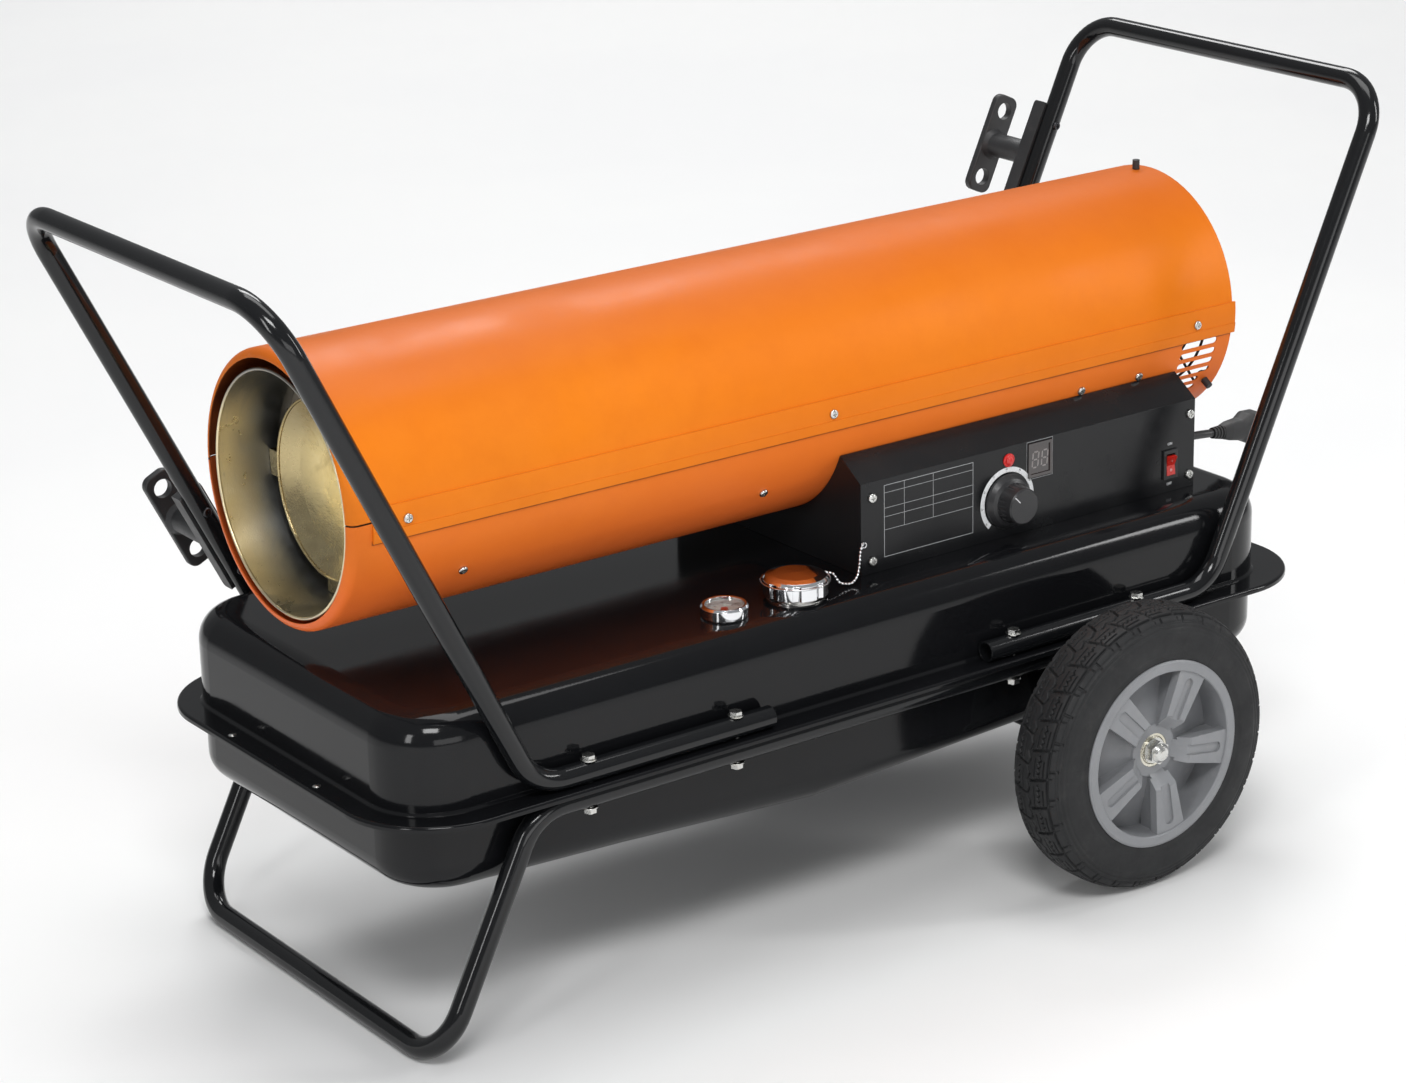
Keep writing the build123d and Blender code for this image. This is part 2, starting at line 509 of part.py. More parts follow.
def box_outline(inset):
    # outline of the box in Y and Z, moved in by a sheet thickness
    i = inset
    return [(-BOX_Y + i, TANK_TOP + 0.05), (-BOX_Y + i, BOX_BEND - 0.35 * i), (-BOX_TOP_Y + 0.6 * i, BOX_TOP_Z - 0.8 * i),
            (BOX_TOP_Y - 0.6 * i, BOX_TOP_Z - 0.8 * i), (BOX_Y - i, BOX_BEND - 0.35 * i), (BOX_Y - i, TANK_TOP + 0.05)]


inner_out = box_outline(BOX_T + 0.1)
barrel_cut = xcyl(0, 480, cut_r)
end_front = prism_x(inner_out, BOX_X0 + 0.1, BOX_X0 + 0.1 + BOX_T) - barrel_cut
end_rear = prism_x(inner_out, BOX_X1 - 0.1 - BOX_T, BOX_X1 - 0.1) - barrel_cut
far = [(BOX_Y - BOX_T, TANK_TOP + 0.05), (BOX_Y, TANK_TOP + 0.05), (BOX_Y, BOX_BEND), (BOX_TOP_Y, BOX_TOP_Z), (BOX_TOP_Y - 0.7, BOX_TOP_Z - 1.0), (BOX_Y - BOX_T, BOX_BEND - 0.5)]
far_side = prism_x(far, BOX_X0, BOX_X1) - barrel_cut
ends = end_front + end_rear
yr = -BOX_Y + BOX_T + 0.1
for x0, x1 in ((BOX_X0 + 0.1, BOX_X0 + 20), (BOX_X1 - 20, BOX_X1 - 0.1)):
    ends = ends + block(x0, x1, yr, yr + BOX_T, TANK_TOP + 0.05, BOX_BEND - 1.5)
ends = ends + block(BOX_X0 + 0.1, BOX_X1 - 0.1, yr, yr + 14, TANK_TOP + 0.05, TANK_TOP + 1.25)
ends = ends + block(BOX_X0 + 0.1, BOX_X1 - 0.1, BOX_Y - BOX_T - 14, BOX_Y - BOX_T + 0.1, TANK_TOP + 0.05, TANK_TOP + 1.25)
# the far side sheet reaches the end plates
ends = ends + (prism_x([(BOX_Y - BOX_T - 0.3, TANK_TOP + 0.05), (BOX_Y - BOX_T + 0.2, TANK_TOP + 0.05), (BOX_Y - BOX_T + 0.2, BOX_BEND - 1), (BOX_Y - BOX_T - 0.3, BOX_BEND - 1)], BOX_X0 + 0.1, BOX_X0 + 1.3))
ends = ends + (prism_x([(BOX_Y - BOX_T - 0.3, TANK_TOP + 0.05), (BOX_Y - BOX_T + 0.2, TANK_TOP + 0.05), (BOX_Y - BOX_T + 0.2, BOX_BEND - 1), (BOX_Y - BOX_T - 0.3, BOX_BEND - 1)], BOX_X1 - 1.3, BOX_X1 - 0.1))
cover = ends + far_side
cover = cover - xcyl(BOX_X1 - 3, BOX_X1 + 3, 6.2, CORD_Y, CORD_Z)
for x, z in PANEL_SCREWS:
    cover = cover - ycyl(x, z, -140, -120, 1.75)
save("control_cover", cover)

near = [(-BOX_Y, TANK_TOP + 0.05), (-BOX_Y, BOX_BEND), (-BOX_TOP_Y, BOX_TOP_Z), (-BOX_TOP_Y + 0.7, BOX_TOP_Z - 1.0), (-BOX_Y + BOX_T, BOX_BEND - 0.5), (-BOX_Y + BOX_T, TANK_TOP + 0.05)]
panel = prism_x(near, BOX_X0, BOX_X1)
panel = panel - ycyl(KNOB[0], KNOB[1], -145, -130, 4.2) - ycyl(LAMP[0], LAMP[1], -145, -130, 5.3)
panel = panel - block(DISPLAY[0] - 12.2, DISPLAY[0] + 12.2, -145, -130, DISPLAY[1] - 14.2, DISPLAY[1] + 14.2)
panel = panel - block(ROCKER[0] - 6.4, ROCKER[0] + 6.4, -145, -130, ROCKER[1] - 11.6, ROCKER[1] + 11.6)
for x, z in PANEL_SCREWS:
    panel = panel - ycyl(x, z, -145, -130, 1.9)
save("control_panel", panel)

# barrel support: a sheet bracket on the tank, inside the control box, whose two cradles carry the barrel
support = block(125, 356, -60, 60, TANK_TOP + 0.05, TANK_TOP + 1.55)
for x0 in (130.0, 350.0):
    upright = block(x0, x0 + 1.5, -70, 70, TANK_TOP + 0.05, AX) - xcyl(x0 - 5, x0 + 6, SHELL_R + 0.7)
    support = support + (upright - block(x0 - 5, x0 + 6, -6, 6, 309, 323))
    support = support + sector(x0 - 9, x0 + 11, SHELL_R + 0.02, SHELL_R + 1.5, -126.0, -54.0)
save("barrel_support", support)

save_list("panel_screws", [pan_screw((x, -BOX_Y - 0.02, z), (0, -1, 0), head_r=4.4, head_h=2.8, shank_r=1.7, shank_l=8.0) for x, z in PANEL_SCREWS])

kx, kz = KNOB
knob = lathe_y([(-138.5, 0.01), (-138.5, 25.2), (-141.0, 25.0), (-144.6, 21.5), (-146.2, 18.2), (-160.6, 16.6), (-162.0, 15.2), (-162.0, 0.01)], kx, kz)
knob = knob + ycyl(kx, kz, -139, -126.2, 3.0)
for k in range(24):
    a = radians(k * 15 + 7.5)
    if abs(((k * 15 + 7.5) - 135 + 180) % 360 - 180) < 10:
        continue
    knob = knob - ycyl(kx + 18.5 * cos(a), kz + 18.5 * sin(a), -163, -147, 1.5)
pa = radians(135)
knob = knob - (Part() + extrude(Plane(origin=(kx + 11 * cos(pa), -161.3, kz + 11 * sin(pa)), x_dir=(cos(pa), 0, sin(pa)), z_dir=(0, -1, 0)) * Rectangle(9, 1.2), 3))
save("thermostat_knob", knob)

# control board behind the panel, with the potentiometer that holds the knob's stem
board = block(150, 330, -122.0, -120.4, 303.5, 380.0)
board = board + (ycyl(kx, kz, -134.0, -121.9, 9.5) - ycyl(kx, kz, -135, -125.9, 3.06))
board = board + block(255, 300, -134, -122, 308, 336) + ycyl(318, 322, -136, -122, 7.5) + ycyl(318, 345, -136, -122, 7.5) + block(160, 178, -130, -122, 350, 372)
board = board + block(150, 330, -121, -96, 303.5, 305.0) - ycyl(LAMP[0], LAMP[1], -123, -119, 2.0)
save("control_board", board)

lamp = lathe_y([(-122.1, 0.01), (-122.1, 4.0), (-138.06, 4.9), (-138.06, 6.2), (-139.0, 6.2), (-139.3, 4.9), (-141.0, 4.3), (-142.2, 2.8), (-142.7, 0.01)], *LAMP)
save("indicator_lamp", lamp)

dx0, dz0 = DISPLAY
disp = block(dx0 - 12, dx0 + 12, -138.3, -122.1, dz0 - 14, dz0 + 14) + (block(dx0 - 14, dx0 + 14, -139.4, -138.05, dz0 - 16, dz0 + 16) - block(dx0 - 11.2, dx0 + 11.2, -141, -138.1, dz0 - 13.2, dz0 + 13.2))
save("display_module", disp)

rx, rz = ROCKER
sw = (block(rx - 8.4, rx + 8.4, -140.0, -138.05, rz - 13.8, rz + 13.8) + block(rx - 6.2, rx + 6.2, -138.5, -118, rz - 11.4, rz + 11.4)) - block(rx - 5.2, rx + 5.2, -145, -121, rz - 10.3, rz + 10.3)
sw = sw + block(rx - 2, rx + 2, -118.5, -111, rz - 7, rz - 5.6) + block(rx - 2, rx + 2, -118.5, -111, rz + 5.6, rz + 7)
sw = sw - xcyl(rx - 6.0, rx + 6.0, 1.26, -133.5, rz)
save("switch_body", sw)

rp_y, rp_z = -133.5, rz
rock_pts = [(-4.0, -6.0), (-4.0, 6.0), (5.0, 9.1), (8.6, 9.1), (6.3, 0.0), (8.6, -9.1), (5.0, -9.1)]
ta = radians(8.0)
pts = []
for u, w in rock_pts:
    # tilted so that the lower half is pressed in
    u2 = u * cos(ta) + w * sin(ta)
    w2 = -u * sin(ta) + w * cos(ta)
    pts.append((rp_y - u2, rp_z + w2))
rocker = prism_x(pts, rx - 5.0, rx + 5.0)
rocker = rocker + xcyl(rx - 5.9, rx + 5.9, 1.2, rp_y, rp_z)
save("switch_rocker", rocker)

# ---------------------------------------------------------------- power cord
grommet = lathe_x([(411, 3.85), (411, 7.6), (413.4, 7.6), (413.4, 6.0), (415.2, 6.0), (415.2, 8.2), (418, 8.2), (426, 5.6), (427, 3.85)], CORD_Z, CORD_Y)
save("cord_grommet", grommet)
CORD_PTS = [(412, CORD_Y, CORD_Z), (432, CORD_Y, CORD_Z), (454, CORD_Y, CORD_Z - 0.8), (474, CORD_Y, CORD_Z - 3.0)]


def bend_radii(pts):
    # each bend as large as its two runs allow
    v = [Vector(*p) for p in pts]
    out = []
    for i in range(1, len(v) - 1):
        a, b = v[i] - v[i - 1], v[i + 1] - v[i]
        out.append(0.45 * min(a.length, b.length) / tan(radians(a.get_angle(b)) / 2))
    return out


radii = bend_radii(CORD_PTS)
print("cord radii", [round(r, 1) for r in radii])
cord_path = path_of(CORD_PTS, radii)
cord = Part() + sweep(Plane(origin=cord_path @ 0, z_dir=cord_path % 0) * Circle(CORD_R), path=cord_path)
save("power_cord", cord)
print("cord length", round(cord_path.length, 2), "volume / section", round(cord.volume / (pi * CORD_R ** 2), 2))

# three-pin plug: ribbed tail, grip that widens to the face, two blades and an earth pin
end, along = cord_path @ 1, cord_path % 1
pl = Plane(origin=end, x_dir=(0, 1, 0), z_dir=along)
tail = Part() + loft([pl * Circle(5.2), pl.offset(12) * Circle(6.8)])
for k in range(3):
    tail = tail - ((Part() + extrude(pl.offset(2.2 + 3.4 * k) * Circle(12), 1.3)) - (Part() + extrude(pl.offset(2.0 + 3.4 * k) * Circle(4.6), 1.7)))


def plug_sec(off, w, h, r, lift):
    p2 = pl.offset(off)
    return Plane(origin=p2.origin + p2.y_dir * lift, x_dir=p2.x_dir, z_dir=p2.z_dir) * RectangleRounded(w, h, r)


grip = Part() + loft([plug_sec(12, 14, 13, 5.5, 0), plug_sec(20, 18, 17, 6, 0.5)])
grip = grip + loft([plug_sec(20, 18, 17, 6, 0.5), plug_sec(34, 22, 20, 7, 1.0)])
grip = grip + loft([plug_sec(34, 22, 20, 7, 1.0), plug_sec(42, 26, 29, 8, 2.0)])
grip = grip + loft([plug_sec(42, 26, 29, 8, 2.0), plug_sec(54, 27, 30, 8, 2.0)])
blades = [Part() + extrude(Plane(origin=pl.offset(53.5).origin + pl.x_dir * yy - pl.y_dir * 2.5, x_dir=pl.x_dir, z_dir=pl.z_dir) * Rectangle(1.5, 6.4), 17) for yy in (-6.35, 6.35)]
earth = Part() + extrude(Plane(origin=pl.offset(53.5).origin + pl.y_dir * 9.4, x_dir=pl.x_dir, z_dir=pl.z_dir) * Circle(2.4), 19)
save("power_plug", fuse([tail, grip, earth] + blades))

# ---------------------------------------------------------------- tube frame
LEAN_F, LEAN_R, LEAN_S = 0.4920, 0.4646, 0.5026
y = SIDE_Y
ff = -CROSS_X + LEAN_F * (CROSS_Z - FOOT_Z)
front_pts = [(-125, -y, FOOT_Z), (ff, -y, FOOT_Z), (-CROSS_X, -y, CROSS_Z), (-CROSS_X, y, CROSS_Z), (ff, y, FOOT_Z), (-125, y, FOOT_Z)]
rf = CROSS_X - LEAN_R * (CROSS_Z - FOOT_Z)
rear_pts = [(110.6, -y, FOOT_Z), (rf, -y, FOOT_Z), (CROSS_X, -y, CROSS_Z), (CROSS_X, y, CROSS_Z), (rf, y, FOOT_Z), (110.6, y, FOOT_Z)]
bar_x = -461.85
fs = bar_x + LEAN_S * (UNDER_Z - TUBE / 2)
RAIL_END = 306.0
stand_pts = [(RAIL_END, -y, UNDER_Z), (fs, -y, UNDER_Z), (bar_x, -y, TUBE / 2), (bar_x, y, TUBE / 2), (fs, y, UNDER_Z), (RAIL_END, y, UNDER_Z)]
bolt_cut = fuse([zcyl(x, s * y, 150, 260, 3.25) for x in BOLT_X for s in (-1, 1)])


def leg_point(name, z):
    return (-CROSS_X + LEAN_F * (CROSS_Z - z)) if name == "front" else (CROSS_X - LEAN_R * (CROSS_Z - z))


WRAP_Z = {"front": 342.0, "rear": 534.0}
WRAP_DIR = {"front": Vector(-LEAN_F, 0, 1).normalized(), "rear": Vector(LEAN_R, 0, 1).normalized()}
WRAP_C = {n: Vector(leg_point(n, WRAP_Z[n]), y, WRAP_Z[n]) for n in ("front", "rear")}
wrap_screw_pts = {n: [WRAP_C[n] + WRAP_DIR[n] * s for s in (-33.0, 33.0)] for n in ("front", "rear")}
wrap_cut = {n: fuse([cyl(tuple(p - Vector(0, 20, 0)), (0, 1, 0), 2.2, 40) for p in wrap_screw_pts[n]]) for n in ("front", "rear")}

save("front_handle", tube_path(front_pts, BEND, TUBE, TUBE_WALL) - bolt_cut - wrap_cut["front"])
save("rear_handle", tube_path(rear_pts, BEND, TUBE, TUBE_WALL) - bolt_cut - wrap_cut["rear"])

# support frame: one bent tube that is the front stand and both rails under the flange,
# with welded side plates for the axle and a cross tube
frame = tube_path(stand_pts, BEND, TUBE, TUBE_WALL)
rail_bore = fuse([xcyl(170, 310, TUBE / 2 - TUBE_WALL, s * y, UNDER_Z) for s in (-1, 1)])
for s in (-1, 1):
    y0, y1 = sorted((s * (y + TUBE / 2 - 0.6), s * (y + TUBE / 2 + 2.4)))
    pl_pts = [(178, UNDER_Z + 4), (286, UNDER_Z + 4), (254, 122), (247, 104), (232, 98), (216, 104), (209, 122)]
    frame = frame + prism_y(pl_pts, y0, y1)
cross = ycyl(WHEEL_X, 108.0, -y - TUBE / 2 - 1.8, y + TUBE / 2 + 1.8, TUBE / 2) - ycyl(WHEEL_X, 108.0, -230, 230, TUBE / 2 - TUBE_WALL)
frame = frame + cross - rail_bore
frame = frame - ycyl(WHEEL_X, WHEEL_R, -230, 230, AXLE_R + 0.15) - bolt_cut
save("support_frame", frame)

axle = ycyl(WHEEL_X, WHEEL_R, -297.0, 297.0, AXLE_R)
for s in (-1, 1):
    y0, y1 = sorted((s * 213.8, s * 216.2))
    axle = axle + ycyl(WHEEL_X, WHEEL_R, y0, y1, 11.0)
save("axle", axle)

bolts, nuts = [], []
for x in BOLT_X:
    for s in (-1, 1):
        zt = FOOT_Z + TUBE / 2 + 0.02
        b = zcyl(x, s * y, 188.5, zt + 0.5, 3.0) + zcyl(x, s * y, zt, zt + 1.0, 6.8) + hexagon((x, s * y, zt + 0.9), (0, 0, 1), 10.0, 3.6)
        bolts.append(b)
        zn = UNDER_Z - TUBE / 2 - 0.02
        n = (hexagon((x, s * y, zn - 5.2), (0, 0, 1), 10.0, 4.4) + zcyl(x, s * y, zn - 1.0, zn, 6.8)) - zcyl(x, s * y, 170, 200, 3.05)
        nuts.append(n)
save_list("handle_bolts", bolts)
save_list("handle_nuts", nuts)


# cord wraps: a grip bar on the leg, a round stem outwards and a flat head with two holes
WRAP_L = 73.0           # leg centre line to the middle of the head


def cord_wrap(n):
    c, d = WRAP_C[n], WRAP_DIR[n]
    out = Vector(0, 1, 0)
    nrm = d.cross(out).normalized()
    base = Plane(origin=c, x_dir=(0, 1, 0), z_dir=nrm)      # local x outwards, local y along the leg
    if base.y_dir.Z < 0:
        base = Plane(origin=c, x_dir=(0, 1, 0), z_dir=-nrm)
    grip = Part() + extrude(base * (Pos(11, 0) * RectangleRounded(16, 104, 3)), 12, both=True)
    stem = cyl(tuple(c + out * 12), out, 12.0, WRAP_L - 4 - 12 + 0.5)
    flare = Part() + Solid.make_cone(12.0, 15.2, 5.0, Plane(origin=c + out * (WRAP_L - 9), z_dir=out))
    face = Plane(origin=c + out * (WRAP_L - 4), x_dir=d, z_dir=out)
    head = Part() + extrude(face * RectangleRounded(100, 29, 9), 8)
    head = Part() + fillet(head.faces().sort_by(Axis.Y)[-1].edges() + head.faces().sort_by(Axis.Y)[0].edges(), 1.8)
    body = grip + stem + flare + head
    # groove that grips the tube
    body = body - cyl(tuple(c - d * 70), d, TUBE / 2 + 0.1, 140)
    for s in (-1, 1):
        body = body - cyl(tuple(c + d * (34.5 * s) + out * (WRAP_L - 12)), out, 8.6, 24)
    for p in wrap_screw_pts[n]:
        body = body - cyl(tuple(p), out, 1.85, 18.2)
    return body


save("front_cord_wrap", cord_wrap("front"))
save("rear_cord_wrap", cord_wrap("rear"))
ws = []
for n in ("front", "rear"):
    for p in wrap_screw_pts[n]:
        hp = p - Vector(0, TUBE / 2 + 0.02, 0)
        ws.append(pan_screw((hp.X, hp.Y, hp.Z), (0, -1, 0), head_r=4.2, head_h=2.6, shank_r=1.8, shank_l=27.0))
save_list("wrap_screws", ws)

# ---------------------------------------------------------------- wheels, left is the control panel side
def wheel(s):
    # built on the -Y side, mirrored for the other
    tyre = lathe_y([(-291.2, 84.25), (-239.5, 84.25), (-238.5, 92), (-238.2, 104), (-240.5, 118), (-246, 126.2), (-254, 129.2), (-262, 130), (-276, 130),
                    (-284, 129.2), (-292, 126.2), (-298.2, 118), (-300.4, 104), (-300.0, 92), (-299.4, 86.9), (-291.2, 86.9)], WHEEL_X, WHEEL_R)
    rim = lathe_y([(-300.6, 76.5), (-301.5, 77.5), (-301.5, 84.6), (-300.4, 86.6), (-291.5, 86.6), (-291.5, 84.0), (-240.0, 84.0), (-240.0, 81.0), (-262, 79.5), (-262, 76.2), (-292, 76.2)], WHEEL_X, WHEEL_R)
    web = lathe_y([(-288, 20), (-270, 80), (-266, 80), (-283, 20)], WHEEL_X, WHEEL_R)
    hub = lathe_y([(-288.0, 9.0), (-288.0, 24.5), (-286, 26), (-270, 26), (-262, 19), (-217.0, 19), (-217.0, 9.0)], WHEEL_X, WHEEL_R)
    rim = rim + web + hub
    for k in range(5):
        a = radians(-9 + 72 * k)
        def w(u, v):
            return (WHEEL_X + u * cos(a) - v * sin(a), WHEEL_R + u * sin(a) + v * cos(a))
        outer = [w(20, -10.5), (w(79, -16.5)), (w(79, 16.5)), (w(20, 10.5))]
        spoke = prism_y(outer, -299.6, -291.0) + prism_y([w(20, -8), w(79, -13), w(79, 13), w(20, 8)], -292, -274)
        slope = prism_y([w(0, -30), w(34, -30), w(34, 30), w(0, 30)], -310, -288) & lathe_y([(-310, 0.01), (-310, 60), (-299.0, 34), (-288.0, 22), (-288.0, 0.01)], WHEEL_X, WHEEL_R)
        groove = Part() + extrude(Plane(origin=(w(50, 0)[0], -299.6, w(50, 0)[1]), x_dir=(cos(a), 0, sin(a)), z_dir=(0, -1, 0)) * SlotOverall(42, 9.5), 2.2, both=True)
        rim = rim + (spoke - slope - groove)
    rim = rim - ycyl(WHEEL_X, WHEEL_R, -320, -278.5, 15.6) - ycyl(WHEEL_X, WHEEL_R, -226.5, -200, 15.6)
    be = []
    for y0, y1 in ((-287.6, -278.6), (-226.4, -217.4)):
        o = ycyl(WHEEL_X, WHEEL_R, y0, y1, 15.55) - ycyl(WHEEL_X, WHEEL_R, y0 - 1, y1 + 1, AXLE_R + 0.05)
        yo = y0 if y0 < -250 else y1
        g = ring_t((WHEEL_X, yo, WHEEL_R), (0, 1, 0), 12.2, 1.0)
        g2 = ring_t((WHEEL_X, yo, WHEEL_R), (0, 1, 0), 9.6, 0.5)
        be.append(o - g - g2)
    if s > 0:
        tyre, rim, be = mirror_y(tyre), mirror_y(rim), [mirror_y(b) for b in be]
    return tyre, rim, be


for side, s in (("left", -1), ("right", 1)):
    t, r, b = wheel(s)
    save(f"{side}_tyre", t)
    save(f"{side}_rim", r)
    save_list(f"{side}_bearings", b)

cap_nuts = []
for s in (-1, 1):
    n = lathe_y([(-287.9, 0.01), (-287.9, 11.8), (-289.4, 11.8), (-289.4, 9.0), (-297.5, 9.0), (-300.2, 6.5), (-301.2, 3.0), (-301.3, 0.01)], WHEEL_X, WHEEL_R)
    n = n + hexagon((WHEEL_X, -289.3, WHEEL_R), (0, -1, 0), 19.0, 7.4)
    n = n - ycyl(WHEEL_X, WHEEL_R, -297.05, -280, AXLE_R + 0.02)
    cap_nuts.append(n if s < 0 else mirror_y(n))
save_list("axle_nuts", cap_nuts)
print("done", len(os.listdir("parts")))
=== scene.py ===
import math
import bpy
import bmesh
import numpy as np
from mathutils import Matrix, Vector


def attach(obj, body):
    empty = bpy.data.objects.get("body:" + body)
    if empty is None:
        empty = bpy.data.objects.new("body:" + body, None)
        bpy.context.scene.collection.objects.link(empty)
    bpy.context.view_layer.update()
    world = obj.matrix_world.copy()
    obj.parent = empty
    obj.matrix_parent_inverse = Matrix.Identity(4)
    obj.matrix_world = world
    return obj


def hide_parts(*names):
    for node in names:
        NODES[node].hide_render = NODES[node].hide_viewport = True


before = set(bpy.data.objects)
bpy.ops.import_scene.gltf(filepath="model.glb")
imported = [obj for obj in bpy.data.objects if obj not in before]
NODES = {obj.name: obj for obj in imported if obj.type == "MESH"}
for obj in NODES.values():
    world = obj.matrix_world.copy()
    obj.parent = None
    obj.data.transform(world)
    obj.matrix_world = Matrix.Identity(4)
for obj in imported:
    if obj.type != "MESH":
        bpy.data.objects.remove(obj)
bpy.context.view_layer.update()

SCENE = bpy.context.scene
MM = 0.001

# ---------------------------------------------------------------- camera
AZ, EL, ROLL = math.radians(-35.585), math.radians(19.386), math.radians(-1.3325)
DIST = 3.22993
TARGET = Vector((-0.04645, 0.0, 0.30960))
back = Vector((math.sin(AZ) * math.cos(EL), -math.cos(AZ) * math.cos(EL), math.sin(EL)))
right = Vector((math.cos(AZ), math.sin(AZ), 0.0))
up = back.cross(right)
cam_x = right * math.cos(ROLL) + up * math.sin(ROLL)
cam_y = up * math.cos(ROLL) - right * math.sin(ROLL)
cam_data = bpy.data.cameras.new("camera")
cam = bpy.data.objects.new("camera", cam_data)
SCENE.collection.objects.link(cam)
cam_data.sensor_width = 36.0
cam_data.lens = 93.345
cam_data.clip_start, cam_data.clip_end = 0.05, 60.0
place = TARGET + back * DIST
cam.matrix_world = Matrix((
    (cam_x.x, cam_y.x, back.x, place.x),
    (cam_x.y, cam_y.y, back.y, place.y),
    (cam_x.z, cam_y.z, back.z, place.z),
    (0, 0, 0, 1)))
SCENE.camera = cam

# ---------------------------------------------------------------- power cord
CORD = [(0.412, -0.100, 0.331), (0.432, -0.100, 0.331), (0.454, -0.100, 0.3302), (0.474, -0.100, 0.328)]
line = bpy.data.curves.new("mains_lead", "CURVE")
line.dimensions = "3D"
line.bevel_depth = 0.38  # times the points' radius of 0.01: a tube 7.6 mm thick
line.bevel_resolution = 8
line.resolution_u = 20
line.use_fill_caps = True
spline = line.splines.new("NURBS")
spline.points.add(len(CORD) - 1)
for p, co in zip(spline.points, CORD):
    p.co = (*co, 1.0)
    p.radius = 0.01
spline.order_u = 3
spline.use_endpoint_u = True
lead = bpy.data.objects.new("mains_lead", line)
SCENE.collection.objects.link(lead)
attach(lead, "heater")
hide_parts("power_cord")


# ---------------------------------------------------------------- material builder
class Mat:
    """A procedural finish in object coordinates, so it rides with its piece."""

    def __init__(self, name, base, rough=0.5, metal=0.0, coat=0.0, coat_rough=0.05, ior=None, spec=None):
        self.m = bpy.data.materials.new(name)
        self.m.use_nodes = True
        self.t = self.m.node_tree
        self.b = next(n for n in self.t.nodes if n.type == "BSDF_PRINCIPLED")
        self.base, self.rough = base, rough
        self.set("Base Color", (*base, 1.0))
        self.set("Roughness", rough)
        self.set("Metallic", metal)
        self.set("Coat Weight", coat)
        self.set("Coat Roughness", coat_rough)
        if ior is not None:
            self.set("IOR", ior)
        if spec is not None:
            self.set("Specular IOR Level", spec)
        self.tc = self.t.nodes.new("ShaderNodeTexCoord")
        self.colour = None
        self.normal = None

    def set(self, socket, value):
        self.b.inputs[socket].default_value = value
        return self

    def join(self, a, b):
        self.t.links.new(a, b)

    def coords(self, stretch=None):
        out = self.tc.outputs["Object"]
        if stretch is None:
            return out
        m = self.t.nodes.new("ShaderNodeMapping")
        m.inputs["Scale"].default_value = stretch
        self.join(out, m.inputs["Vector"])
        return m.outputs["Vector"]

    def noise(self, scale, detail=3.0, rough=0.5, stretch=None, distortion=0.0):
        n = self.t.nodes.new("ShaderNodeTexNoise")
        n.inputs["Scale"].default_value = scale
        n.inputs["Detail"].default_value = detail
        n.inputs["Roughness"].default_value = rough
        n.inputs["Distortion"].default_value = distortion
        self.join(self.coords(stretch), n.inputs["Vector"])
        return n.outputs["Fac"]

    def cells(self, scale, feature="F1", randomness=1.0, stretch=None):
        n = self.t.nodes.new("ShaderNodeTexVoronoi")
        n.feature = feature
        n.inputs["Scale"].default_value = scale
        n.inputs["Randomness"].default_value = randomness
        self.join(self.coords(stretch), n.inputs["Vector"])
        return n.outputs["Distance"]

    def wave(self, scale, axis="X", distortion=0.0, stretch=None, detail=2.0):
        n = self.t.nodes.new("ShaderNodeTexWave")
        n.bands_direction = axis
        n.inputs["Scale"].default_value = scale
        n.inputs["Distortion"].default_value = distortion
        n.inputs["Detail"].default_value = detail
        self.join(self.coords(stretch), n.inputs["Vector"])
        return n.outputs["Fac"]

    def axis(self, which):
        s = self.t.nodes.new("ShaderNodeSeparateXYZ")
        self.join(self.tc.outputs["Object"], s.inputs["Vector"])
        return s.outputs[which]

    def radius(self, z0):
        """Distance from the line along X at height z0."""
        s = self.t.nodes.new("ShaderNodeSeparateXYZ")
        self.join(self.tc.outputs["Object"], s.inputs["Vector"])
        y2 = self.math("MULTIPLY", s.outputs["Y"], s.outputs["Y"])
        dz = self.math("SUBTRACT", s.outputs["Z"], z0)
        return self.math("SQRT", self.math("ADD", y2, self.math("MULTIPLY", dz, dz)))

    def inward(self, z0):
        """How far the surface looks towards the line along X at height z0: 1 straight at it, -1 away."""
        s = self.t.nodes.new("ShaderNodeSeparateXYZ")
        self.join(self.tc.outputs["Object"], s.inputs["Vector"])
        g = self.t.nodes.new("ShaderNodeNewGeometry")
        n = self.t.nodes.new("ShaderNodeSeparateXYZ")
        self.join(g.outputs["True Normal"], n.inputs["Vector"])
        dz = self.math("SUBTRACT", s.outputs["Z"], z0)
        dot = self.math("ADD", self.math("MULTIPLY", s.outputs["Y"], n.outputs["Y"]), self.math("MULTIPLY", dz, n.outputs["Z"]))
        return self.math("MULTIPLY", self.math("DIVIDE", dot, self.radius(z0)), -1.0)

    def remap(self, value, a, b, c=0.0, d=1.0, smooth=False):
        n = self.t.nodes.new("ShaderNodeMapRange")
        n.interpolation_type = "SMOOTHSTEP" if smooth else "LINEAR"
        n.clamp = True
        for i, v in zip(("From Min", "From Max", "To Min", "To Max"), (a, b, c, d)):
            n.inputs[i].default_value = v
        self.join(value, n.inputs["Value"])
        return n.outputs["Result"]

    def math(self, op, a, b=None):
        n = self.t.nodes.new("ShaderNodeMath")
        n.operation = op
        for i, v in enumerate((a, b)):
            if v is None:
                continue
            if isinstance(v, (int, float)):
                n.inputs[i].default_value = v
            else:
                self.join(v, n.inputs[i])
        return n.outputs[0]

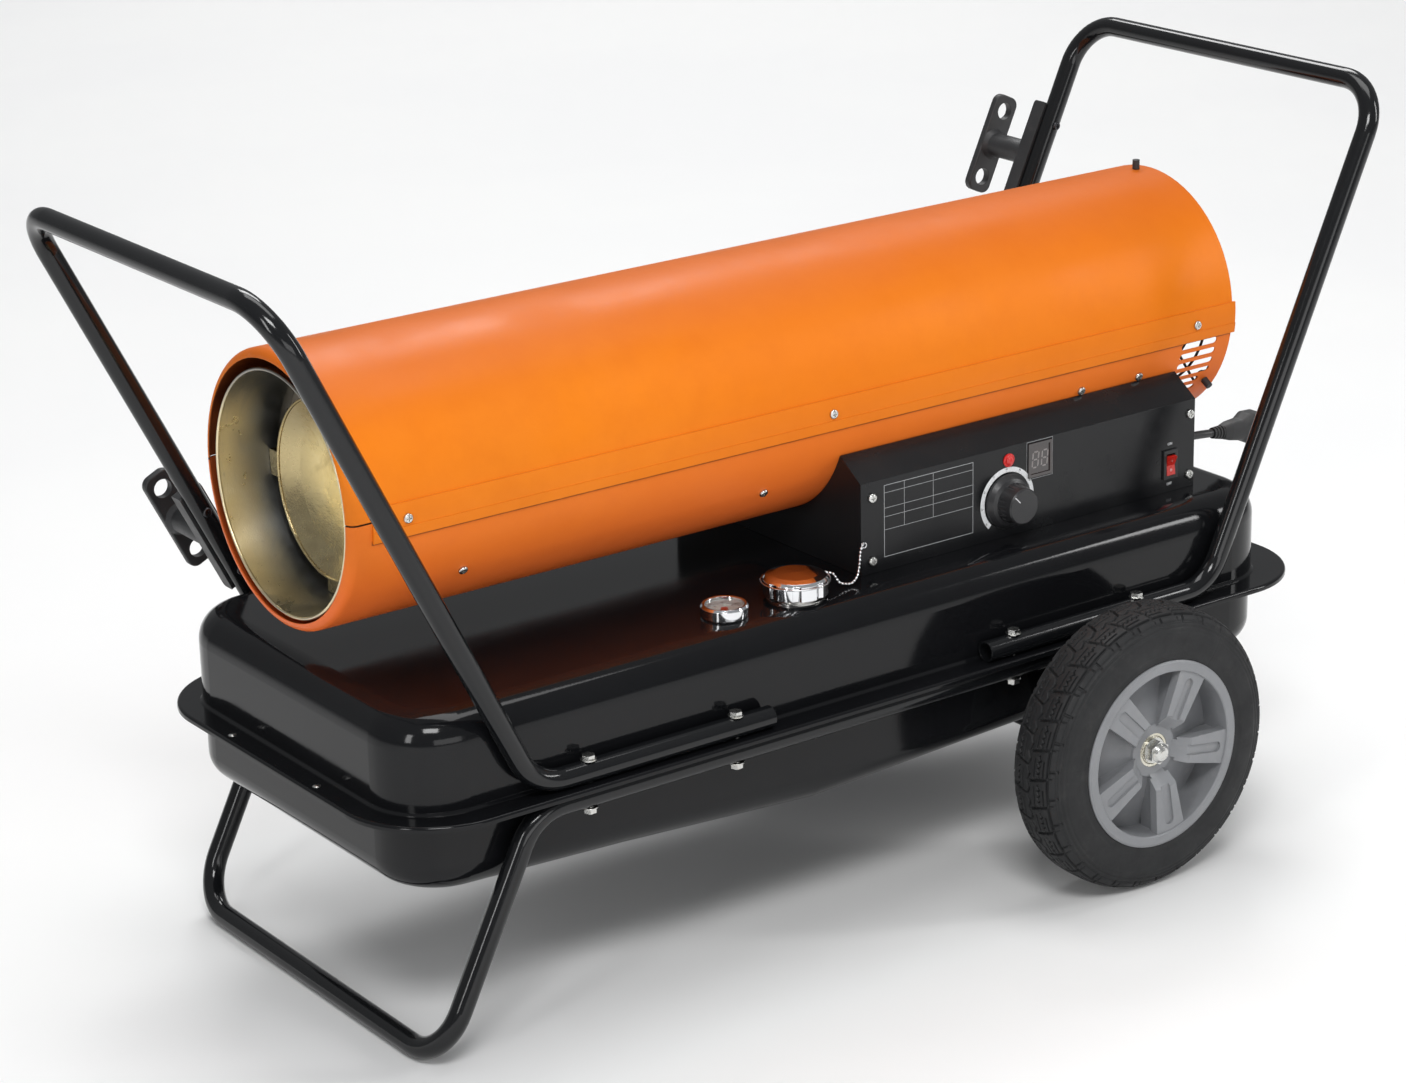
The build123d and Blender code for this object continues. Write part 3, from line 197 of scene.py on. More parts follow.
    def tint(self, fac, colour):
        """Lays colour over what is there, by fac."""
        n = self.t.nodes.new("ShaderNodeMix")
        n.data_type = "RGBA"
        self.join(fac, n.inputs[0])
        if self.colour is None:
            n.inputs[6].default_value = (*self.base, 1.0)
        else:
            self.join(self.colour, n.inputs[6])
        n.inputs[7].default_value = (*colour, 1.0)
        self.colour = n.outputs[2]
        self.join(self.colour, self.b.inputs["Base Color"])
        return self

    def roughness(self, fac, lo, hi, a=0.3, b=0.7):
        self.join(self.remap(fac, a, b, lo, hi), self.b.inputs["Roughness"])
        return self

    def bevel(self, radius):
        n = self.t.nodes.new("ShaderNodeBevel")
        n.samples = 4
        n.inputs["Radius"].default_value = radius
        self.normal = n.outputs["Normal"]
        self.join(self.normal, self.b.inputs["Normal"])
        return self

    def bump(self, height, strength, distance):
        n = self.t.nodes.new("ShaderNodeBump")
        n.inputs["Strength"].default_value = strength
        n.inputs["Distance"].default_value = distance
        self.join(height, n.inputs["Height"])
        if self.normal is not None:
            self.join(self.normal, n.inputs["Normal"])
        self.normal = n.outputs["Normal"]
        self.join(self.normal, self.b.inputs["Normal"])
        return self


def enamel(name, base, light, dark, dust, rough=0.2, coat=0.6, wave=0.25, bevel=0.0006):
    m = Mat(name, base, rough, coat=coat, coat_rough=0.04)
    big, mid = m.noise(3.2, 3, 0.55), m.noise(26, 4, 0.6)
    m.tint(m.remap(big, 0.35, 0.65), light)
    m.tint(m.remap(mid, 0.42, 0.72, 0.0, 0.35), dark)
    specks = m.cells(420, randomness=1.0)
    gate = m.noise(46, 2)
    m.tint(m.math("MULTIPLY", m.remap(specks, 0.10, 0.04), m.remap(gate, 0.56, 0.64, 0, 0.55)), dust)
    m.roughness(m.noise(9, 5, 0.65), rough * 0.75, rough * 1.45)
    m.bevel(bevel)
    m.bump(m.noise(7.5, 1.5), wave, 0.0016)
    m.bump(m.noise(520, 2), 0.05, 0.0004)
    return m


# gloss orange enamel on rolled sheet
def shell_enamel(name):
    m = enamel(name, (0.76, 0.186, 0.007), (0.79, 0.208, 0.009), (0.68, 0.152, 0.005), (0.86, 0.40, 0.13), rough=0.38, coat=0.0, wave=0.22)
    m.set("Specular IOR Level", 0.15)
    # painted shade: the inward-facing inside of the sheet is darkened to brown, where it shows in the gap round the
    # nozzle
    m.tint(m.remap(m.inward(0.448), 0.12, 0.55), (0.075, 0.020, 0.010))
    # heat browning close to the outlet
    m.tint(m.math("MULTIPLY", m.remap(m.axis("X"), -0.44, -0.472, 0.0, 0.30, True), m.remap(m.noise(18, 4), 0.35, 0.7)), (0.55, 0.13, 0.02))
    return m


orange = shell_enamel("orange_enamel")
# a second copy of the shell enamel for the lower shell, which carries painted shade
orange_low_shaded = shell_enamel("orange_enamel_lower_shaded")
# painted shade: the crown darkened and browned towards the top
orange.tint(orange.remap(orange.axis("Z"), 0.500, 0.572, 0.0, 0.80, True), (0.53, 0.108, 0.010))
# painted shade: the lower shell darker and redder towards the bottom
orange_low_shaded.tint(orange_low_shaded.remap(orange_low_shaded.axis("Z"), 0.436, 0.345, 0.35, 0.90, True), (0.80, 0.150, 0.032))
# painted shadow: a thin dark line on the lower shell, right under the edge of the side flange
line_up = orange_low_shaded.remap(orange_low_shaded.axis("Z"), 0.4276, 0.4292, 0.0, 0.9, True)
line_down = orange_low_shaded.remap(orange_low_shaded.axis("Z"), 0.4330, 0.4310)
behind_lip = orange_low_shaded.remap(orange_low_shaded.axis("X"), -0.4520, -0.4505)
painted_flange_shadow = orange_low_shaded.math("MULTIPLY", orange_low_shaded.math("MULTIPLY", line_up, line_down), behind_lip)
orange_low_shaded.tint(orange_low_shaded.math("MULTIPLY", painted_flange_shadow, orange_low_shaded.remap(orange_low_shaded.noise(60, 3), 0.25, 0.45, 0.6, 1.0)), (0.10, 0.022, 0.006))
# painted shade along the butt joint of the two shells at the front lip
for m in (orange, orange_low_shaded):
    off = m.math("ABSOLUTE", m.math("SUBTRACT", m.axis("Z"), 0.448))
    m.tint(m.math("MULTIPLY", m.remap(off, 0.0010, 0.0005), m.remap(m.axis("X"), -0.4500, -0.4512)), (0.030, 0.010, 0.006))

black = enamel("black_enamel", (0.0050, 0.0053, 0.0062), (0.0070, 0.0073, 0.0083), (0.0035, 0.0035, 0.0042), (0.10, 0.10, 0.095), rough=0.09, coat=0.0, wave=0.16)
black.set("Specular IOR Level", 0.27)
tube = enamel("black_tube_enamel", (0.0055, 0.0060, 0.0068), (0.0075, 0.0080, 0.0090), (0.004, 0.004, 0.005), (0.10, 0.10, 0.095), rough=0.11, coat=0.0, wave=0.08, bevel=0.0005)
tube.set("Specular IOR Level", 0.42)

# satin powder coat with its fine pebbled skin
powder = Mat("black_powder_coat", (0.0075, 0.0078, 0.0088), 0.30, spec=0.28)
powder.tint(powder.remap(powder.noise(5, 4), 0.35, 0.65), (0.0120, 0.0123, 0.0133))
powder.tint(powder.math("MULTIPLY", powder.remap(powder.cells(600), 0.10, 0.04), powder.remap(powder.noise(40, 2), 0.57, 0.65, 0, 0.4)), (0.14, 0.14, 0.135))
powder.roughness(powder.noise(14, 5, 0.6), 0.24, 0.42)
powder.bevel(0.0007).bump(powder.noise(5.5, 1.5), 0.16, 0.0014).bump(powder.noise(900, 2), 0.16, 0.0003)

# printed face of the control panel, glossier and very slightly uneven
face = Mat("panel_face", (0.0070, 0.0073, 0.0083), 0.20, spec=0.30)
face.tint(face.remap(face.noise(8, 4), 0.35, 0.65), (0.0115, 0.0118, 0.0128))
face.roughness(face.noise(22, 5, 0.65), 0.16, 0.30)
face.bevel(0.0007).bump(face.noise(6, 1.5), 0.12, 0.0012).bump(face.noise(1100, 2), 0.06, 0.0002)


def heat(name, a, b, c, rough, grain):
    # sheet steel coloured by heat: straw and bronze bands over cold grey, drawn along the circumference
    m = Mat(name, a, rough, metal=1.0)
    m.tint(m.remap(m.noise(6.5, 4, 0.6, distortion=0.6), 0.38, 0.62, smooth=True), b)
    m.tint(m.remap(m.noise(11, 5, 0.62, stretch=(2.4, 1, 1), distortion=0.9), 0.50, 0.66, 0, 0.75, True), c)
    m.tint(m.remap(m.noise(170, 4, 0.7), 0.62, 0.74, 0, 0.30), (0.22, 0.18, 0.13))
    m.roughness(m.noise(30, 5, 0.7), rough * 0.72, rough * 1.35)
    m.bump(m.noise(grain, 3, 0.6, stretch=(3.0, 1, 1)), 0.30, 0.0005)
    m.bump(m.noise(13, 2), 0.07, 0.002)
    return m


nozzle_heat_tint_and_shade = heat("heat_tinted_and_shaded_nozzle", (0.84, 0.72, 0.46), (0.88, 0.78, 0.53), (0.60, 0.55, 0.42), 0.32, 420)
# blue grey deeper in, heat colour with painted shade over it; straw near the mouth
nozzle_heat_tint_and_shade.tint(nozzle_heat_tint_and_shade.remap(nozzle_heat_tint_and_shade.axis("X"), -0.466, -0.428, 0.0, 0.82, True), (0.27, 0.30, 0.34))
# painted shade: darker grey towards the top of the nozzle
nozzle_heat_tint_and_shade.tint(nozzle_heat_tint_and_shade.remap(nozzle_heat_tint_and_shade.axis("Z"), 0.475, 0.540, 0.0, 0.80, True), (0.17, 0.18, 0.20))
dish_heat_tint_and_painted_light = heat("heat_tinted_dish_painted_light", (0.86, 0.67, 0.30), (0.92, 0.77, 0.42), (0.52, 0.38, 0.17), 0.24, 520)
# painted shade on the outer ring of the dish, leaving a painted highlight in the centre
dish_heat_tint_and_painted_light.tint(dish_heat_tint_and_painted_light.remap(dish_heat_tint_and_painted_light.radius(0.4445), 0.028, 0.066, 0.0, 0.62, True), (0.34, 0.29, 0.19))
# painted shade: darker towards the top of the dish
dish_heat_tint_and_painted_light.tint(dish_heat_tint_and_painted_light.remap(dish_heat_tint_and_painted_light.axis("Z"), 0.450, 0.500, 0.0, 0.70, True), (0.20, 0.165, 0.10))
dish_heat_tint_and_painted_light.bump(dish_heat_tint_and_painted_light.noise(40, 3, 0.6, distortion=0.4), 0.40, 0.0016)
chamber_metal = heat("heat_tinted_chamber", (0.34, 0.30, 0.25), (0.26, 0.22, 0.20), (0.18, 0.19, 0.22), 0.45, 380)


def metal(name, base, shade, rough, grain=240, stretch=None, stain=None, bevel=0.0003, lo=0.75, hi=1.4):
    m = Mat(name, base, rough, metal=1.0)
    m.tint(m.remap(m.noise(60, 4, 0.6), 0.36, 0.66), shade)
    if stain is not None:
        m.tint(m.remap(m.noise(120, 4, 0.7), 0.55, 0.70, 0, 0.6), stain)
    m.roughness(m.noise(90, 5, 0.7), rough * lo, rough * hi)
    if bevel:
        m.bevel(bevel)
    m.bump(m.noise(grain, 3, 0.6, stretch=stretch), 0.22, 0.0002)
    return m


zinc = metal("zinc_plate", (0.67, 0.67, 0.65), (0.57, 0.57, 0.55), 0.25, 500, stain=(0.50, 0.47, 0.38))
screw_zinc = metal("screw_zinc", (0.70, 0.70, 0.68), (0.55, 0.55, 0.53), 0.24, 900, stain=(0.30, 0.30, 0.29), bevel=0.0002)
black_screw = metal("black_oxide", (0.060, 0.060, 0.064), (0.040, 0.040, 0.043), 0.34, 700, stain=(0.13, 0.12, 0.11), bevel=0.0002)
bearing_metal = metal("bearing_steel", (0.60, 0.57, 0.46), (0.70, 0.68, 0.60), 0.24, 800, stain=(0.30, 0.26, 0.16), bevel=0.0002)
shaft_metal = metal("turned_steel", (0.58, 0.58, 0.59), (0.50, 0.50, 0.51), 0.28, 300, stretch=(1, 14, 14))
rotor_metal = metal("rotor_laminations", (0.42, 0.42, 0.43), (0.34, 0.34, 0.35), 0.34, 220, stretch=(30, 1, 1))
alloy = metal("cast_alloy", (0.60, 0.61, 0.62), (0.52, 0.53, 0.54), 0.42, 320, stain=(0.40, 0.40, 0.40))
alloy.bump(alloy.noise(700, 3, 0.7), 0.35, 0.0003)
fan_metal = metal("pressed_alloy", (0.68, 0.69, 0.70), (0.60, 0.61, 0.62), 0.30, 420, stretch=(1, 5, 1))
brass = metal("turned_brass", (0.72, 0.55, 0.26), (0.62, 0.46, 0.20), 0.26, 500, stain=(0.36, 0.25, 0.11))
neck_metal = metal("plated_neck", (0.70, 0.69, 0.67), (0.60, 0.59, 0.57), 0.20, 400)

chrome = Mat("chrome", (0.80, 0.81, 0.83), 0.07, metal=1.0)
chrome.tint(chrome.remap(chrome.noise(40, 4, 0.6), 0.40, 0.66, 0, 0.6), (0.72, 0.72, 0.73))
chrome.roughness(chrome.noise(130, 5, 0.75), 0.035, 0.17, 0.38, 0.72)
chrome.bevel(0.0004).bump(chrome.noise(34, 2), 0.12, 0.0008)
chrome.bump(chrome.noise(800, 2), 0.05, 0.0002)


def plastic(name, base, shade, rough, grain=1300, strength=0.22, coat=0.0, bevel=0.0006, dust=None):
    m = Mat(name, base, rough, coat=coat, coat_rough=0.15)
    m.tint(m.remap(m.noise(16, 4, 0.6), 0.36, 0.64), shade)
    if dust is not None:
        m.tint(m.remap(m.noise(70, 5, 0.7), 0.56, 0.74, 0, 0.5), dust)
    m.roughness(m.noise(48, 5, 0.65), rough * 0.82, rough * 1.22)
    if bevel:
        m.bevel(bevel)
    m.bump(m.noise(grain, 2), strength, 0.0003)
    return m


rim_plastic = plastic("grey_rim_plastic", (0.232, 0.238, 0.250), (0.205, 0.210, 0.221), 0.36, 900, 0.20, bevel=0.0009, dust=(0.29, 0.288, 0.282))
wrap_plastic = plastic("black_wrap_plastic", (0.020, 0.0205, 0.022), (0.027, 0.0275, 0.029), 0.48, 1200, 0.28, bevel=0.0011, dust=(0.055, 0.055, 0.054))
knob_plastic = plastic("black_knob_plastic", (0.017, 0.017, 0.0185), (0.023, 0.023, 0.0245), 0.33, 1500, 0.14, bevel=0.0005)
switch_plastic = plastic("black_switch_plastic", (0.016, 0.016, 0.0172), (0.021, 0.021, 0.022), 0.36, 1500, 0.14, bevel=0.0003)
plug_rubber = plastic("black_plug_rubber", (0.021, 0.021, 0.0222), (0.028, 0.028, 0.029), 0.52, 1300, 0.26, bevel=0.0006, dust=(0.05, 0.05, 0.05))
lead_rubber = plastic("lead_jacket", (0.022, 0.022, 0.0232), (0.030, 0.030, 0.031), 0.46, 1500, 0.20, bevel=0, dust=(0.05, 0.05, 0.05))
red_plastic = plastic("red_rocker_plastic", (0.62, 0.022, 0.012), (0.52, 0.016, 0.010), 0.26, 1600, 0.08, coat=0.4, bevel=0.0003)
pointer_plastic = plastic("red_pointer", (0.70, 0.05, 0.02), (0.60, 0.04, 0.02), 0.35, 1600, 0.1, bevel=0)
foam = plastic("float_foam", (0.055, 0.055, 0.057), (0.085, 0.085, 0.086), 0.75, 700, 0.5)
hose = plastic("black_hose", (0.020, 0.020, 0.021), (0.030, 0.030, 0.030), 0.55, 900, 0.3, bevel=0)
nylon = plastic("nylon_line", (0.62, 0.56, 0.40), (0.54, 0.47, 0.31), 0.30, 700, 0.1, coat=0.2, bevel=0)
nylon.set("Transmission Weight", 0.25)
ceramic = plastic("glazed_insulator", (0.80, 0.78, 0.72), (0.70, 0.68, 0.61), 0.20, 900, 0.1, coat=0.5, dust=(0.45, 0.40, 0.33))
carbon = plastic("carbon_rotor", (0.035, 0.035, 0.037), (0.055, 0.055, 0.057), 0.38, 1000, 0.2)
motor_paint = enamel("motor_enamel", (0.075, 0.080, 0.085), (0.090, 0.095, 0.100), (0.055, 0.058, 0.062), (0.25, 0.25, 0.24), rough=0.34, coat=0.2, wave=0.10)

rubber = Mat("tyre_rubber", (0.0115, 0.0120, 0.0130), 0.58, spec=0.35)
rubber.tint(rubber.remap(rubber.noise(11, 5, 0.65), 0.38, 0.68), (0.0165, 0.0168, 0.0178))
rubber.tint(rubber.remap(rubber.noise(85, 5, 0.72), 0.54, 0.74, 0, 0.50), (0.034, 0.033, 0.032))
rubber.roughness(rubber.noise(36, 5, 0.65), 0.48, 0.76)
rubber.bump(rubber.noise(780, 3, 0.6), 0.30, 0.0003).bump(rubber.noise(120, 3), 0.12, 0.0006)

lamp_lens = Mat("lamp_lens", (0.72, 0.012, 0.010), 0.12, coat=0.6, coat_rough=0.05, ior=1.49)
lamp_lens.set("Transmission Weight", 0.35).set("Emission Color", (1.0, 0.03, 0.02, 1)).set("Emission Strength", 0.12)
lamp_lens.tint(lamp_lens.remap(lamp_lens.cells(950, randomness=0.15), 0.2, 0.5, 0, 0.6), (0.42, 0.006, 0.006))
lamp_lens.bump(lamp_lens.cells(950, randomness=0.15), 0.5, 0.0006)

clear = Mat("gauge_window", (0.93, 0.95, 0.95), 0.03, ior=1.49)
clear.set("Transmission Weight", 1.0)
clear.tint(clear.remap(clear.noise(60, 4), 0.5, 0.7, 0, 0.5), (0.84, 0.87, 0.86))
clear.roughness(clear.noise(300, 5, 0.8), 0.01, 0.10, 0.45, 0.8)
clear.bump(clear.noise(45, 2), 0.06, 0.0004)

display_dark = Mat("display_window", (0.016, 0.010, 0.010), 0.09, coat=1.0, coat_rough=0.02)
display_dark.tint(display_dark.remap(display_dark.noise(120, 3), 0.4, 0.65), (0.024, 0.012, 0.011))
display_dark.roughness(display_dark.noise(260, 4, 0.7), 0.06, 0.16)
display_dark.bevel(0.0003)

board_green = Mat("circuit_board", (0.022, 0.115, 0.045), 0.35, coat=0.4)
board_green.tint(board_green.remap(board_green.wave(95, "X", 3.0), 0.62, 0.72, 0, 0.8), (0.04, 0.19, 0.08))
board_green.tint(board_green.remap(board_green.cells(260, randomness=0.4), 0.16, 0.10), (0.55, 0.52, 0.42))
board_green.roughness(board_green.noise(60, 4), 0.28, 0.48)
board_green.bump(board_green.wave(95, "X", 3.0), 0.25, 0.0003)


def ink(name, base, shade, rough=0.5):
    m = Mat(name, base, rough)
    m.tint(m.remap(m.noise(900, 3, 0.7), 0.42, 0.70, 0, 0.8), shade)
    m.roughness(m.noise(400, 3), rough * 0.8, rough * 1.2)
    m.bump(m.noise(1500, 2), 0.15, 0.0001)
    return m


white_ink = ink("white_print", (0.78, 0.79, 0.80), (0.66, 0.67, 0.68))
line_ink = ink("grey_print", (0.46, 0.47, 0.48), (0.36, 0.37, 0.38))
dark_ink = ink("dark_print", (0.020, 0.020, 0.022), (0.035, 0.035, 0.036))
dim_ink = ink("display_segments", (0.25, 0.23, 0.225), (0.19, 0.175, 0.17), 0.3)
gauge_face = ink("gauge_dial", (0.80, 0.79, 0.74), (0.70, 0.69, 0.63), 0.45)
weld = metal("painted_weld", (0.020, 0.020, 0.022), (0.030, 0.030, 0.032), 0.30, 260)
weld.set("Metallic", 0.0)

FINISH = {
    "upper_shell": orange, "lower_shell": orange_low_shaded, "shell_screws": screw_zinc, "fan_guard": black_screw, "guard_pins": wrap_plastic,
    "nozzle_cone": nozzle_heat_tint_and_shade, "flame_dish": dish_heat_tint_and_painted_light, "combustion_chamber": chamber_metal, "burner_head": chamber_metal,
    "spark_electrode": ceramic, "barrel_support": powder, "motor_bracket": zinc, "motor_stator": motor_paint,
    "motor_rotor": rotor_metal, "fan": fan_metal, "pump_body": alloy, "pump_rotor": carbon, "pressure_gauge": brass, "pump_adjuster": brass,
    "air_line": hose, "fuel_line": nylon, "tank_top": black, "tank_bottom": black, "drain_plug": zinc, "filler_neck": neck_metal,
    "filler_cap": chrome, "cap_plate": neck_metal, "cap_chain": chrome, "gauge_body": chrome, "gauge_lens": clear, "gauge_needle": pointer_plastic,
    "gauge_float": foam, "control_cover": powder, "control_panel": face, "panel_screws": screw_zinc, "control_board": board_green,
    "thermostat_knob": knob_plastic, "indicator_lamp": lamp_lens, "display_module": display_dark, "switch_body": switch_plastic,
    "switch_rocker": red_plastic, "cord_grommet": lead_rubber, "power_plug": plug_rubber, "front_handle": tube, "rear_handle": tube,
    "support_frame": tube, "handle_bolts": zinc, "handle_nuts": zinc, "front_cord_wrap": wrap_plastic, "rear_cord_wrap": wrap_plastic,
    "wrap_screws": black_screw, "axle": shaft_metal, "axle_nuts": zinc, "left_rim": rim_plastic, "right_rim": rim_plastic,
    "left_bearings": bearing_metal, "right_bearings": bearing_metal, "left_tyre": rubber, "right_tyre": rubber, "power_cord": lead_rubber,
}
missing = sorted(set(NODES) - set(FINISH))
if missing:
    raise RuntimeError("no finish for " + ", ".join(missing))
for name, node in NODES.items():
    node.data.materials.clear()
    node.data.materials.append(FINISH[name].m)
    for poly in node.data.polygons:
        poly.material_index = 0
line.materials.append(lead_rubber.m)


# ---------------------------------------------------------------- piece helpers
def piece(name, verts, faces, mat, body, slot, smooth=True, angle=35.0):
    me = bpy.data.meshes.new(name)
    me.from_pydata([tuple(v) for v in verts], [], faces)
    me.validate()
    me.materials.append(mat.m)
    ob = bpy.data.objects.new(name, me)
    SCENE.collection.objects.link(ob)
    if smooth:
        me.polygons.foreach_set("use_smooth", [True] * len(me.polygons))
        me.set_sharp_from_angle(angle=math.radians(angle))
    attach(ob, body)
    return ob


def from_bmesh(name, bm, mat, body, smooth=True, angle=35.0):
    bm.normal_update()
    me = bpy.data.meshes.new(name)
    bm.to_mesh(me)
    bm.free()
    me.materials.append(mat.m)
    ob = bpy.data.objects.new(name, me)
    SCENE.collection.objects.link(ob)
    if smooth:
        me.polygons.foreach_set("use_smooth", [True] * len(me.polygons))
        me.set_sharp_from_angle(angle=math.radians(angle))
    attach(ob, body)
    return ob


def slab(bm, outline, y0, y1, to=None):
    """A flat closed plate from an outline in X and Z, between two Y values."""
    to = to or (lambda u, w, y: (u, y, w))
    a = [bm.verts.new(to(u, w, y0)) for u, w in outline]
    b = [bm.verts.new(to(u, w, y1)) for u, w in outline]
    bm.faces.new(a)
    bm.faces.new(b[::-1])
    n = len(outline)
    for i in range(n):
        bm.faces.new((a[i], b[i], b[(i + 1) % n], a[(i + 1) % n]))


def torus(bm, centre, normal, major, minor, n=48, k=10):
    z = Vector(normal).normalized()
    x = z.orthogonal().normalized()
    y = z.cross(x)
    rings = []
    for i in range(n):
        a = 2 * math.pi * i / n
        d = x * math.cos(a) + y * math.sin(a)
        rings.append([bm.verts.new(Vector(centre) + d * (major + minor * math.cos(2 * math.pi * j / k)) + z * (minor * math.sin(2 * math.pi * j / k))) for j in range(k)])
    for i in range(n):
        for j in range(k):
            bm.faces.new((rings[i][j], rings[(i + 1) % n][j], rings[(i + 1) % n][(j + 1) % k], rings[i][(j + 1) % k]))


def ball(bm, centre, r, segments=14, rings=8, squash=(1, 1, 1)):
    m = Matrix.Translation(Vector(centre)) @ Matrix.Diagonal((*squash, 1))
    bmesh.ops.create_uvsphere(bm, u_segments=segments, v_segments=rings, radius=r, matrix=m)


def rod(bm, a, b, r, n=10):
    a, b = Vector(a), Vector(b)
    z = (b - a).normalized()
    x = z.orthogonal().normalized()
    y = z.cross(x)
    ends = []
    for p in (a, b):
        ends.append([bm.verts.new(p + x * r * math.cos(2 * math.pi * i / n) + y * r * math.sin(2 * math.pi * i / n)) for i in range(n)])
    for i in range(n):
        bm.faces.new((ends[0][i], ends[0][(i + 1) % n], ends[1][(i + 1) % n], ends[1][i]))
    bm.faces.new(ends[0][::-1])
    bm.faces.new(ends[1])


def smooth_path(points, step):
    """Evenly spaced points on a curve through the given ones."""
    p = [Vector(q) for q in points]
    p = [p[0] * 2 - p[1]] + p + [p[-1] * 2 - p[-2]]
    dense = []
    for i in range(1, len(p) - 2):
        for k in range(40):
            t = k / 40
            dense.append(0.5 * ((2 * p[i]) + (p[i + 1] - p[i - 1]) * t + (2 * p[i - 1] - 5 * p[i] + 4 * p[i + 1] - p[i + 2]) * t * t + (3 * p[i] - p[i - 1] - 3 * p[i + 1] + p[i + 2]) * t ** 3))
    dense.append(p[-2].copy())
    out, left = [dense[0]], step
    for a, b in zip(dense, dense[1:]):
        d = (b - a).length
        while d >= left:
            a = a + (b - a) * (left / d)
            out.append(a)
            d -= left
            left = step
        left -= d
    return out


# ---------------------------------------------------------------- tyres with their tread
WHEEL = (0.2315, 0.130)     # axle line in X and Z


